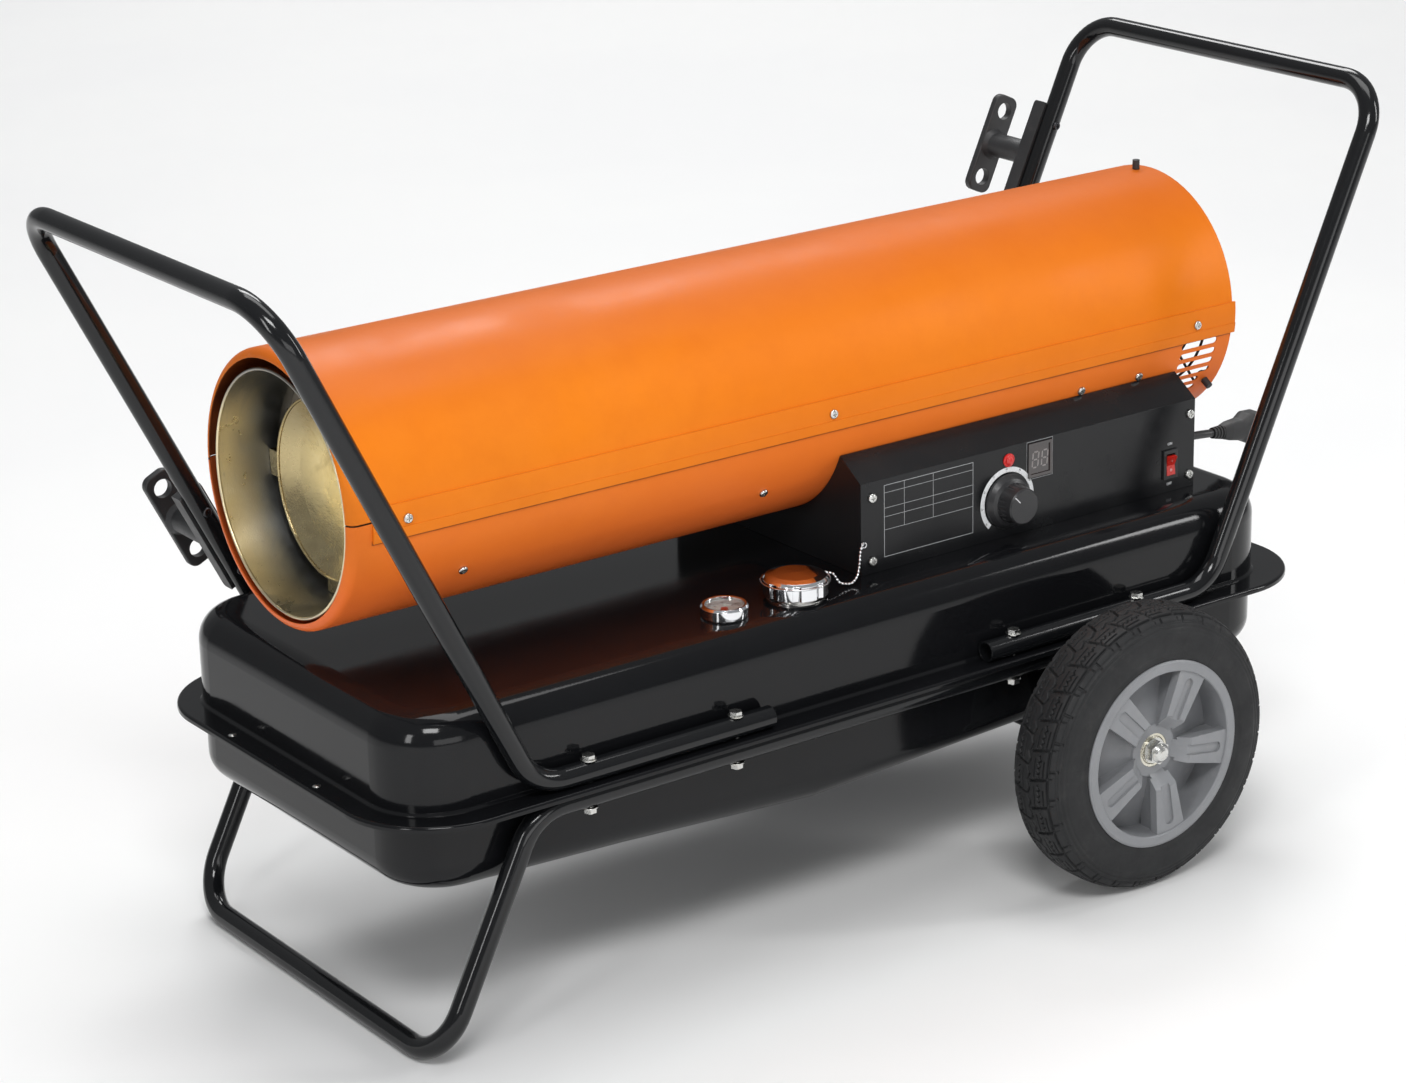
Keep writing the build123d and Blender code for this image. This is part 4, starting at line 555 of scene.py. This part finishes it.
def tyre(name, side):
    # outline of the tyre on the -Y side, from the inner bead over the tread to the outer bead (Y, radius), mm
    key = [(-239.2, 86.5), (-238.5, 92), (-238.25, 98), (-238.4, 104), (-239.3, 111.5), (-241.2, 118.4), (-245.2, 124.6), (-250.0, 127.9), (-256.0, 129.5), (-262.5, 129.95),
           (-269.0, 130.0), (-275.5, 129.95), (-282.0, 129.5), (-288.0, 127.9), (-293.0, 124.6), (-297.2, 118.4), (-299.4, 111.5), (-300.3, 104), (-300.3, 98), (-300.0, 92), (-299.4, 86.9)]
    pts = [Vector((a, b, 0)) for a, b in key]
    ext = [pts[0] * 2 - pts[1]] + pts + [pts[-1] * 2 - pts[-2]]
    prof = []
    for i in range(1, len(ext) - 2):
        tread = ext[i].y > 117 or ext[i + 1].y > 117
        n = max(2, int((ext[i + 1] - ext[i]).length / (0.62 if tread else 1.5)))
        for k in range(n):
            t = k / n
            prof.append(0.5 * ((2 * ext[i]) + (ext[i + 1] - ext[i - 1]) * t + (2 * ext[i - 1] - 5 * ext[i] + 4 * ext[i + 1] - ext[i + 2]) * t * t + (3 * ext[i] - ext[i - 1] - 3 * ext[i + 1] + ext[i + 2]) * t ** 3))
    prof.append(pts[-1])
    prof = np.array([(p.x, min(p.y, 130.0)) for p in prof])
    d = np.gradient(prof, axis=0)
    d /= np.linalg.norm(d, axis=1)[:, None]
    nrm = np.stack([d[:, 1], -d[:, 0]], 1)              # turned outwards below
    nrm[nrm[:, 1] * np.where(prof[:, 1] > 120, 1, 0) < 0] *= -1
    centre = np.array([-269.3, 106.0])
    flip = ((prof - centre) * nrm).sum(1) < 0
    nrm[flip] *= -1
    N, P, ARC = 1020, 30, 27.2
    th = np.arange(N) / N
    c = (th * P)[:, None]
    w = (prof[:, 0] - centre[0])[None, :]
    r = prof[:, 1][None, :]
    aw, half = np.abs(w), np.where(w > 0, 0.5, 0.0)

    def tri(x):
        return 4 * np.abs((x % 1.0) - 0.5) - 1

    def cut(dist, width, soft=0.45):
        return np.clip(1 - (np.abs(dist) - width) / soft, 0, 1)

    f = (c + half) % 1.0
    arc = f * ARC
    slant = (arc + 0.28 * aw) % ARC
    gap = np.minimum(slant, ARC - slant)
    depth = np.zeros((N, len(prof)))
    tread_zone = (r > 119.5) & (aw < 29)
    depth = np.maximum(depth, 2.3 * cut(w - 1.7 * tri(c * 2.0), 0.75))
    depth = np.maximum(depth, 2.3 * cut(gap, 0.85) * ((aw > 1.0) & (aw < 21.6)))
    depth = np.maximum(depth, 1.5 * cut(aw - 7.1, 0.32) * ((arc > 4.5) & (arc < 22.5)))
    depth = np.maximum(depth, 1.9 * cut(aw - 12.6 - 1.35 * tri(f * 5.0), 0.48) * ((arc > 1.5) & (arc < 25.7)))
    depth = np.maximum(depth, 1.3 * cut(aw - 17.2, 0.32) * ((arc > 5.0) & (arc < 22.0)))
    depth = np.maximum(depth, 2.2 * cut(aw - 21.4, 0.70))
    shoulder = np.minimum((arc + ARC / 2) % ARC, ARC - (arc + ARC / 2) % ARC)
    depth = np.maximum(depth, 1.7 * cut(shoulder, 0.8) * (aw > 21.4))
    depth = np.maximum(depth, 1.2 * cut(gap, 0.5) * ((aw > 21.4) & (aw < 26.5)))
    depth = np.maximum(depth, 0.9 * cut(aw - 26.6, 0.4))
    depth = depth * tread_zone
    # shallow rings and the raised bead line on the side walls
    for rad, dep, wid in ((116.6, 0.7, 0.7), (112.6, 0.35, 0.5), (92.6, 0.5, 0.6), (89.8, 0.35, 0.4)):
        depth = np.maximum(depth, dep * cut(r - rad, wid, 0.6) * (aw > 20) * np.ones((N, 1)))
    # faint mould parting steps, three round the tyre
    depth += 0.15 * cut(((c + 0.5) % 10.0) - 5.0, 0.02, 0.02) * (aw > 24)
    a = 2 * np.pi * th[:, None]
    rr = r - depth * nrm[None, :, 1]
    yy = prof[:, 0][None, :] - depth * nrm[None, :, 0]
    if side > 0:
        yy = -yy
    x = WHEEL[0] + rr * MM * np.cos(a)
    z = WHEEL[1] + rr * MM * np.sin(a)
    inner = [(-299.4, 86.9), (-291.2, 86.9), (-291.2, 84.25), (-239.5, 84.25)]
    M = len(prof)
    cols = [np.stack([x, yy * MM * np.ones_like(x), z], 2)]
    for yb, rb in inner[1:]:
        yb = yb if side < 0 else -yb
        cols.append(np.stack([WHEEL[0] + rb * MM * np.cos(a), np.full_like(a, yb * MM), WHEEL[1] + rb * MM * np.sin(a)], 2))
    grid = np.concatenate(cols, 1)
    K = grid.shape[1]
    verts = grid.reshape(-1, 3)
    i = np.arange(N)[:, None]
    j = np.arange(K)[None, :]
    quad = np.stack([i * K + j, ((i + 1) % N) * K + j, ((i + 1) % N) * K + (j + 1) % K, i * K + (j + 1) % K], 2).reshape(-1, 4)
    if side > 0:
        quad = quad[:, ::-1]
    me = bpy.data.meshes.new(name)
    me.vertices.add(len(verts))
    me.vertices.foreach_set("co", verts.astype(np.float32).ravel())
    me.loops.add(len(quad) * 4)
    me.loops.foreach_set("vertex_index", quad.astype(np.int32).ravel())
    me.polygons.add(len(quad))
    me.polygons.foreach_set("loop_start", np.arange(0, len(quad) * 4, 4, dtype=np.int32))
    me.update(calc_edges=True)
    me.validate()
    me.materials.append(rubber.m)
    me.polygons.foreach_set("use_smooth", [True] * len(me.polygons))
    bm = bmesh.new()
    bm.from_mesh(me)
    bmesh.ops.recalc_face_normals(bm, faces=bm.faces)
    bm.to_mesh(me)
    bm.free()
    me.set_sharp_from_angle(angle=math.radians(48))
    ob = bpy.data.objects.new(name, me)
    SCENE.collection.objects.link(ob)
    return ob


for side, s in (("left", -1), ("right", 1)):
    t = tyre(f"{side}_treaded_tyre", s)
    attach(t, f"{side}_wheel")
    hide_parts(f"{side}_tyre")

# ---------------------------------------------------------------- bead chain of the filler cap
bm = bmesh.new()
CHAIN = [(-21.0, -145.6, 315.3), (-15, -147.2, 313.0), (-10, -149.3, 304.6), (-3, -150.8, 301.9), (4, -150.6, 302.0), (12, -147.5, 307.5), (18.2, -142.8, 323.0), (21.3, -140.9, 328.2)]
beads = smooth_path([(x * MM, y * MM, z * MM) for x, y, z in CHAIN], 3.35 * MM)
for a, b in zip(beads, beads[1:]):
    rod(bm, a, b, 0.42 * MM, 6)
for p in beads:
    ball(bm, p, 1.38 * MM, 12, 8)
torus(bm, (-0.051, -0.141, 0.315), (0, 0, 1), 30.0 * MM, 0.72 * MM, 72, 8)
torus(bm, (-0.0224, -0.1445, 0.3150), (0.3, 1, 0.4), 2.0 * MM, 0.45 * MM, 20, 8)
chain = from_bmesh("bead_chain", bm, chrome, "heater", angle=60)
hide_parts("cap_chain")
bm = bmesh.new()
torus(bm, (0.0245, -0.1402, 0.3280), (0.15, 1, 0), 2.3 * MM, 0.55 * MM, 24, 8)
ball(bm, (0.0245, -0.1386, 0.3280), 1.5 * MM, 14, 8, (1, 0.4, 1))
from_bmesh("chain_eye", bm, chrome, "heater", angle=60)


# ---------------------------------------------------------------- printed scale, pointer, lettering
def text_piece(name, body_text, size, where, mat, body, rot=0.0, depth=0.00006, align="CENTER", lean=0.0):
    """Lettering that stands on a wall facing -Y. rot turns it in that plane, lean tips its top outwards."""
    cu = bpy.data.curves.new(name, "FONT")
    cu.body = body_text
    cu.size = size
    cu.align_x = align
    cu.align_y = "CENTER"
    cu.extrude = depth
    cu.resolution_u = 4
    tmp = bpy.data.objects.new(name + "_tmp", cu)
    SCENE.collection.objects.link(tmp)
    tmp.matrix_world = Matrix.Translation(Vector(where)) @ Matrix.Rotation(lean, 4, "X") @ Matrix.Rotation(rot, 4, (0, -1, 0)) @ Matrix.Rotation(math.pi / 2, 4, "X")
    bpy.context.view_layer.update()
    me = bpy.data.meshes.new_from_object(tmp.evaluated_get(bpy.context.evaluated_depsgraph_get()))
    me.transform(tmp.matrix_world)
    bpy.data.objects.remove(tmp)
    me.name = name
    me.materials.clear()
    me.materials.append(mat.m)
    ob = bpy.data.objects.new(name, me)
    SCENE.collection.objects.link(ob)
    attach(ob, body)
    return ob


def arc_band(bm, cx, cz, r0, r1, a0, a1, y0, y1, n):
    pts = [(cx + r1 * math.cos(a), cz + r1 * math.sin(a)) for a in np.linspace(a0, a1, n)]
    pts += [(cx + r0 * math.cos(a), cz + r0 * math.sin(a)) for a in np.linspace(a1, a0, n)]
    a = [bm.verts.new((u, y0, w)) for u, w in pts]
    b = [bm.verts.new((u, y1, w)) for u, w in pts]
    m = len(pts)
    for i in range(n - 1):
        bm.faces.new((a[i], a[i + 1], a[m - 2 - i], a[m - 1 - i]))
        bm.faces.new((b[i], b[m - 1 - i], b[m - 2 - i], b[i + 1]))
    for i in range(m):
        bm.faces.new((a[i], b[i], b[(i + 1) % m], a[(i + 1) % m]))


KX, KZ, PY = 0.1887, 0.333, -0.1380
bm = bmesh.new()
arc_band(bm, KX, KZ, 26.4 * MM, 31.0 * MM, math.radians(226), math.radians(-12), PY - 0.00010, PY - 0.00001, 80)
scale = from_bmesh("dial_scale_band", bm, white_ink, "heater", angle=30)
bm = bmesh.new()
values = [40, 50, 60, 70, 80, 90, 100, 110]
span = np.linspace(math.radians(216), math.radians(-2), len(values))
for k, a in enumerate(np.linspace(span[0], span[-1], (len(values) - 1) * 4 + 1)):
    r1 = 27.9 if k % 4 == 0 else 27.3
    w = 0.13 if k % 4 == 0 else 0.09
    d, t = Vector((math.cos(a), 0, math.sin(a))), Vector((-math.sin(a), 0, math.cos(a)))
    q = [(KX + d.x * r * MM + t.x * e * MM, KZ + d.z * r * MM + t.z * e * MM) for r, e in ((26.6, -w), (r1, -w), (r1, w), (26.6, w))]
    slab(bm, q, PY - 0.00016, PY - 0.00008)
from_bmesh("dial_scale_ticks", bm, dark_ink, "heater", smooth=False)
for v, a in zip(values, span):
    text_piece(f"dial_number_{v}", str(v), 2.5 * MM, (KX + 29.55 * MM * math.cos(a), PY - 0.00012, KZ + 29.55 * MM * math.sin(a)), dark_ink, "heater", rot=a - math.pi / 2)

# pointer line filled into the knob's groove
bm = bmesh.new()
pa = math.radians(135)
d, t = Vector((math.cos(pa), 0, math.sin(pa))), Vector((-math.sin(pa), 0, math.cos(pa)))
slab(bm, [(KX + d.x * r * MM + t.x * e * MM, KZ + d.z * r * MM + t.z * e * MM) for r, e in ((6.8, -0.5), (15.0, -0.5), (15.0, 0.5), (6.8, 0.5))], -0.1617, -0.1613)
from_bmesh("knob_pointer_line", bm, white_ink, "knob", smooth=False)

text_piece("switch_on_mark", "ON", 3.6 * MM, (0.3846, PY - 0.00006, 0.3453), white_ink, "heater")
text_piece("switch_off_mark", "OFF", 3.6 * MM, (0.3846, PY - 0.00006, 0.3068), white_ink, "heater")
text_piece("rocker_mark_on", "I", 3.4 * MM, (0.3846, -0.14152, 0.32945), white_ink, "rocker", lean=math.radians(22.2))
text_piece("rocker_mark_off", "O", 3.4 * MM, (0.3846, -0.14026, 0.32045), white_ink, "rocker", lean=math.radians(-6.2))

# thin printed frame round the display window
bm = bmesh.new()
for q in (((0.2112, 0.3468), (0.2418, 0.3468), (0.2418, 0.3471), (0.2112, 0.3471)), ((0.2112, 0.3819), (0.2418, 0.3819), (0.2418, 0.3822), (0.2112, 0.3822)),
          ((0.2112, 0.3471), (0.2115, 0.3471), (0.2115, 0.3819), (0.2112, 0.3819)), ((0.2415, 0.3471), (0.2418, 0.3471), (0.2418, 0.3819), (0.2415, 0.3819))):
    slab(bm, list(q), PY - 0.00007, PY - 0.00001)
from_bmesh("display_frame_line", bm, line_ink, "heater", smooth=False)


def outline_box(bm, x0, x1, z0, z1, w, y0, y1):
    for q in (((x0, z0), (x1, z0), (x1, z0 + w), (x0, z0 + w)), ((x0, z1 - w), (x1, z1 - w), (x1, z1), (x0, z1)),
              ((x0, z0 + w), (x0 + w, z0 + w), (x0 + w, z1 - w), (x0, z1 - w)), ((x1 - w, z0 + w), (x1, z0 + w), (x1, z1 - w), (x1 - w, z1 - w))):
        slab(bm, list(q), y0, y1)


# plain printed grid at the left of the panel, with nothing written in it
bm = bmesh.new()
Y0, Y1 = PY - 0.00007, PY - 0.00001
outline_box(bm, 0.0486, 0.1492, 0.3113, 0.3772, 0.00045, Y0, Y1)
for z in (0.3700, 0.3560, 0.3480, 0.3360):
    slab(bm, [(0.04905, z), (0.14875, z), (0.14875, z + 0.00032), (0.04905, z + 0.00032)], Y0, Y1)
for x in (0.0710, 0.1035):
    slab(bm, [(x, 0.33632), (x + 0.00032, 0.33632), (x + 0.00032, 0.37675), (x, 0.37675)], Y0, Y1)
from_bmesh("panel_printed_grid", bm, line_ink, "heater", smooth=False)


# ---------------------------------------------------------------- display digits
def digit(bm, x, z, w, h, t, y0, y1, slant=0.10):
    def seg(pts):
        slab(bm, [(x + u + slant * v, z + v) for u, v in pts], y0, y1)
    g = t * 0.16
    for zc in (0, h / 2, h):
        seg([(g + t * 0.5, zc), (g + t, zc - t / 2), (w - g - t, zc - t / 2), (w - g - t * 0.5, zc), (w - g - t, zc + t / 2), (g + t, zc + t / 2)])
    for xc in (0, w):
        for z0, z1 in ((0, h / 2), (h / 2, h)):
            seg([(xc, z0 + g + t * 0.1), (xc + t / 2, z0 + g + t * 0.6), (xc + t / 2, z1 - g - t * 0.6), (xc, z1 - g - t * 0.1), (xc - t / 2, z1 - g - t * 0.6), (xc - t / 2, z0 + g + t * 0.6)])


bm = bmesh.new()
for x in (0.2265 - 0.0092, 0.2265 + 0.0016):
    digit(bm, x, 0.3645 - 0.0072, 0.0066, 0.0144, 0.0015, -0.13836, -0.13829)
from_bmesh("display_digits", bm, dim_ink, "heater", smooth=False)

# ---------------------------------------------------------------- fuel gauge dial
GX, GY, GZ = -0.126, -0.140, 0.30222
bm = bmesh.new()


def flat(bm, pts, z0, z1):
    slab(bm, pts, z0, z1, to=lambda u, w, z: (u, w, z))


n = 64
ring_out = [bm.verts.new((GX + 17.3 * MM * math.cos(2 * math.pi * i / n), GY + 17.3 * MM * math.sin(2 * math.pi * i / n), GZ + 0.00012)) for i in range(n)]
ring_in = [bm.verts.new((GX + 5.4 * MM * math.cos(2 * math.pi * i / n), GY + 5.4 * MM * math.sin(2 * math.pi * i / n), GZ + 0.00012)) for i in range(n)]
low_out = [bm.verts.new(v.co - Vector((0, 0, 0.0001))) for v in ring_out]
low_in = [bm.verts.new(v.co - Vector((0, 0, 0.0001))) for v in ring_in]
for i in range(n):
    j = (i + 1) % n
    bm.faces.new((ring_out[i], ring_out[j], ring_in[j], ring_in[i]))
    bm.faces.new((low_out[j], low_out[i], low_in[i], low_in[j]))
    bm.faces.new((ring_out[j], ring_out[i], low_out[i], low_out[j]))
    bm.faces.new((ring_in[i], ring_in[j], low_in[j], low_in[i]))
from_bmesh("gauge_dial_face", bm, gauge_face, "heater", smooth=False)
bm = bmesh.new()
for k in range(9):
    a = math.radians(215 - 250 * k / 8)
    r0 = 12.2 if k % 4 == 0 else 13.6
    d, t = Vector((math.cos(a), math.sin(a), 0)), Vector((-math.sin(a), math.cos(a), 0))
    q = [(GX + (d.x * r + t.x * e) * MM, GY + (d.y * r + t.y * e) * MM) for r, e in ((r0, -0.3), (16.2, -0.3), (16.2, 0.3), (r0, 0.3))]
    flat(bm, q, GZ + 0.00012, GZ + 0.00020)
from_bmesh("gauge_dial_ticks", bm, dark_ink, "heater", smooth=False)

# ---------------------------------------------------------------- rivets on the front flange, weld beads on the frame
bm = bmesh.new()
for x, y in ((-0.4885, -0.0700), (-0.4885, 0.0700)):
    ball(bm, (x, y, 0.2170), 3.1 * MM, 24, 12, (1, 1, 0.42))
    torus(bm, (x, y, 0.21705), (0, 0, 1), 3.3 * MM, 0.35 * MM, 32, 8)
from_bmesh("flange_rivets", bm, zinc, "heater", angle=50)

bm = bmesh.new()
rng = np.random.default_rng(7)
for s in (-1, 1):
    # beads along the top edge of each side plate, where it meets the rail
    for k in range(34):
        x = 0.1815 + k * 0.0031
        ball(bm, (x, s * 0.21045, 0.2012 + rng.normal() * 0.00015), (1.55 + rng.normal() * 0.12) * MM, 10, 6, (1.25, 0.8, 0.8))
    # ring of beads round the cross tube inside each plate
    for k in range(26):
        a = 2 * math.pi * k / 26
        ball(bm, (0.2315 + 9.6 * MM * math.cos(a), s * 0.2094, 0.108 + 9.6 * MM * math.sin(a)), (1.3 + rng.normal() * 0.1) * MM, 8, 6)
from_bmesh("frame_weld_beads", bm, weld, "heater", angle=60)

# ---------------------------------------------------------------- stage, light
floor_mat = Mat("floor_paper", (0.86, 0.86, 0.86), 0.65)
floor_mat.tint(floor_mat.remap(floor_mat.noise(1.4, 3), 0.4, 0.6), (0.875, 0.875, 0.87))
floor_mat.roughness(floor_mat.noise(30, 3), 0.6, 0.72)
bm = bmesh.new()
bmesh.ops.create_grid(bm, x_segments=8, y_segments=8, size=40.0)
me = bpy.data.meshes.new("floor")
bm.to_mesh(me)
bm.free()
me.materials.append(floor_mat.m)
floor = bpy.data.objects.new("floor", me)
SCENE.collection.objects.link(floor)

world = bpy.data.worlds.new("studio")
world.use_nodes = True
SCENE.world = world
wt = world.node_tree
bg = next(n for n in wt.nodes if n.type == "BACKGROUND")
tc = wt.nodes.new("ShaderNodeTexCoord")
sep = wt.nodes.new("ShaderNodeSeparateXYZ")
wt.links.new(tc.outputs["Generated"], sep.inputs["Vector"])
ramp = wt.nodes.new("ShaderNodeMapRange")
ramp.inputs["From Min"].default_value, ramp.inputs["From Max"].default_value = 0.0, 1.0
ramp.inputs["To Min"].default_value, ramp.inputs["To Max"].default_value = 0.24, 0.34
wt.links.new(sep.outputs["Z"], ramp.inputs["Value"])
bg.inputs["Color"].default_value = (0.97, 0.985, 1.0, 1)
wt.links.new(ramp.outputs["Result"], bg.inputs["Strength"])


def softbox(name, where, at, size, power, colour=(1, 1, 1)):
    d = bpy.data.lights.new(name, "AREA")
    d.shape = "RECTANGLE"
    d.size, d.size_y = size
    d.energy = power
    d.color = colour
    o = bpy.data.objects.new(name, d)
    SCENE.collection.objects.link(o)
    o.location = where
    o.rotation_mode = "QUATERNION"
    o.rotation_quaternion = (Vector(at) - Vector(where)).to_track_quat("-Z", "Y")
    o.visible_camera = False
    return o


softbox("key_softbox", (-1.5, -2.2, 3.1), (0.0, 0.0, 0.30), (1.3, 0.9), 60)
softbox("low_front_softbox", (-0.6, -3.1, 0.75), (0.0, 0.0, 0.33), (2.4, 0.9), 14)
softbox("top_softbox", (0.3, 0.2, 3.1), (0.0, 0.0, 0.3), (2.6, 1.1), 33)
softbox("side_strip", (2.7, -1.9, 1.7), (0.2, 0.0, 0.3), (0.35, 1.8), 24)
softbox("outlet_strip", (-2.8, -1.2, 1.3), (-0.3, 0.0, 0.4), (0.4, 1.3), 14)
softbox("backdrop_softbox", (2.6, 3.9, 5.2), (2.2, 3.2, 0.0), (3.4, 2.2), 210)

SCENE.view_settings.view_transform = "Standard"
SCENE.view_settings.look = "None"
SCENE.view_settings.exposure = 0.0
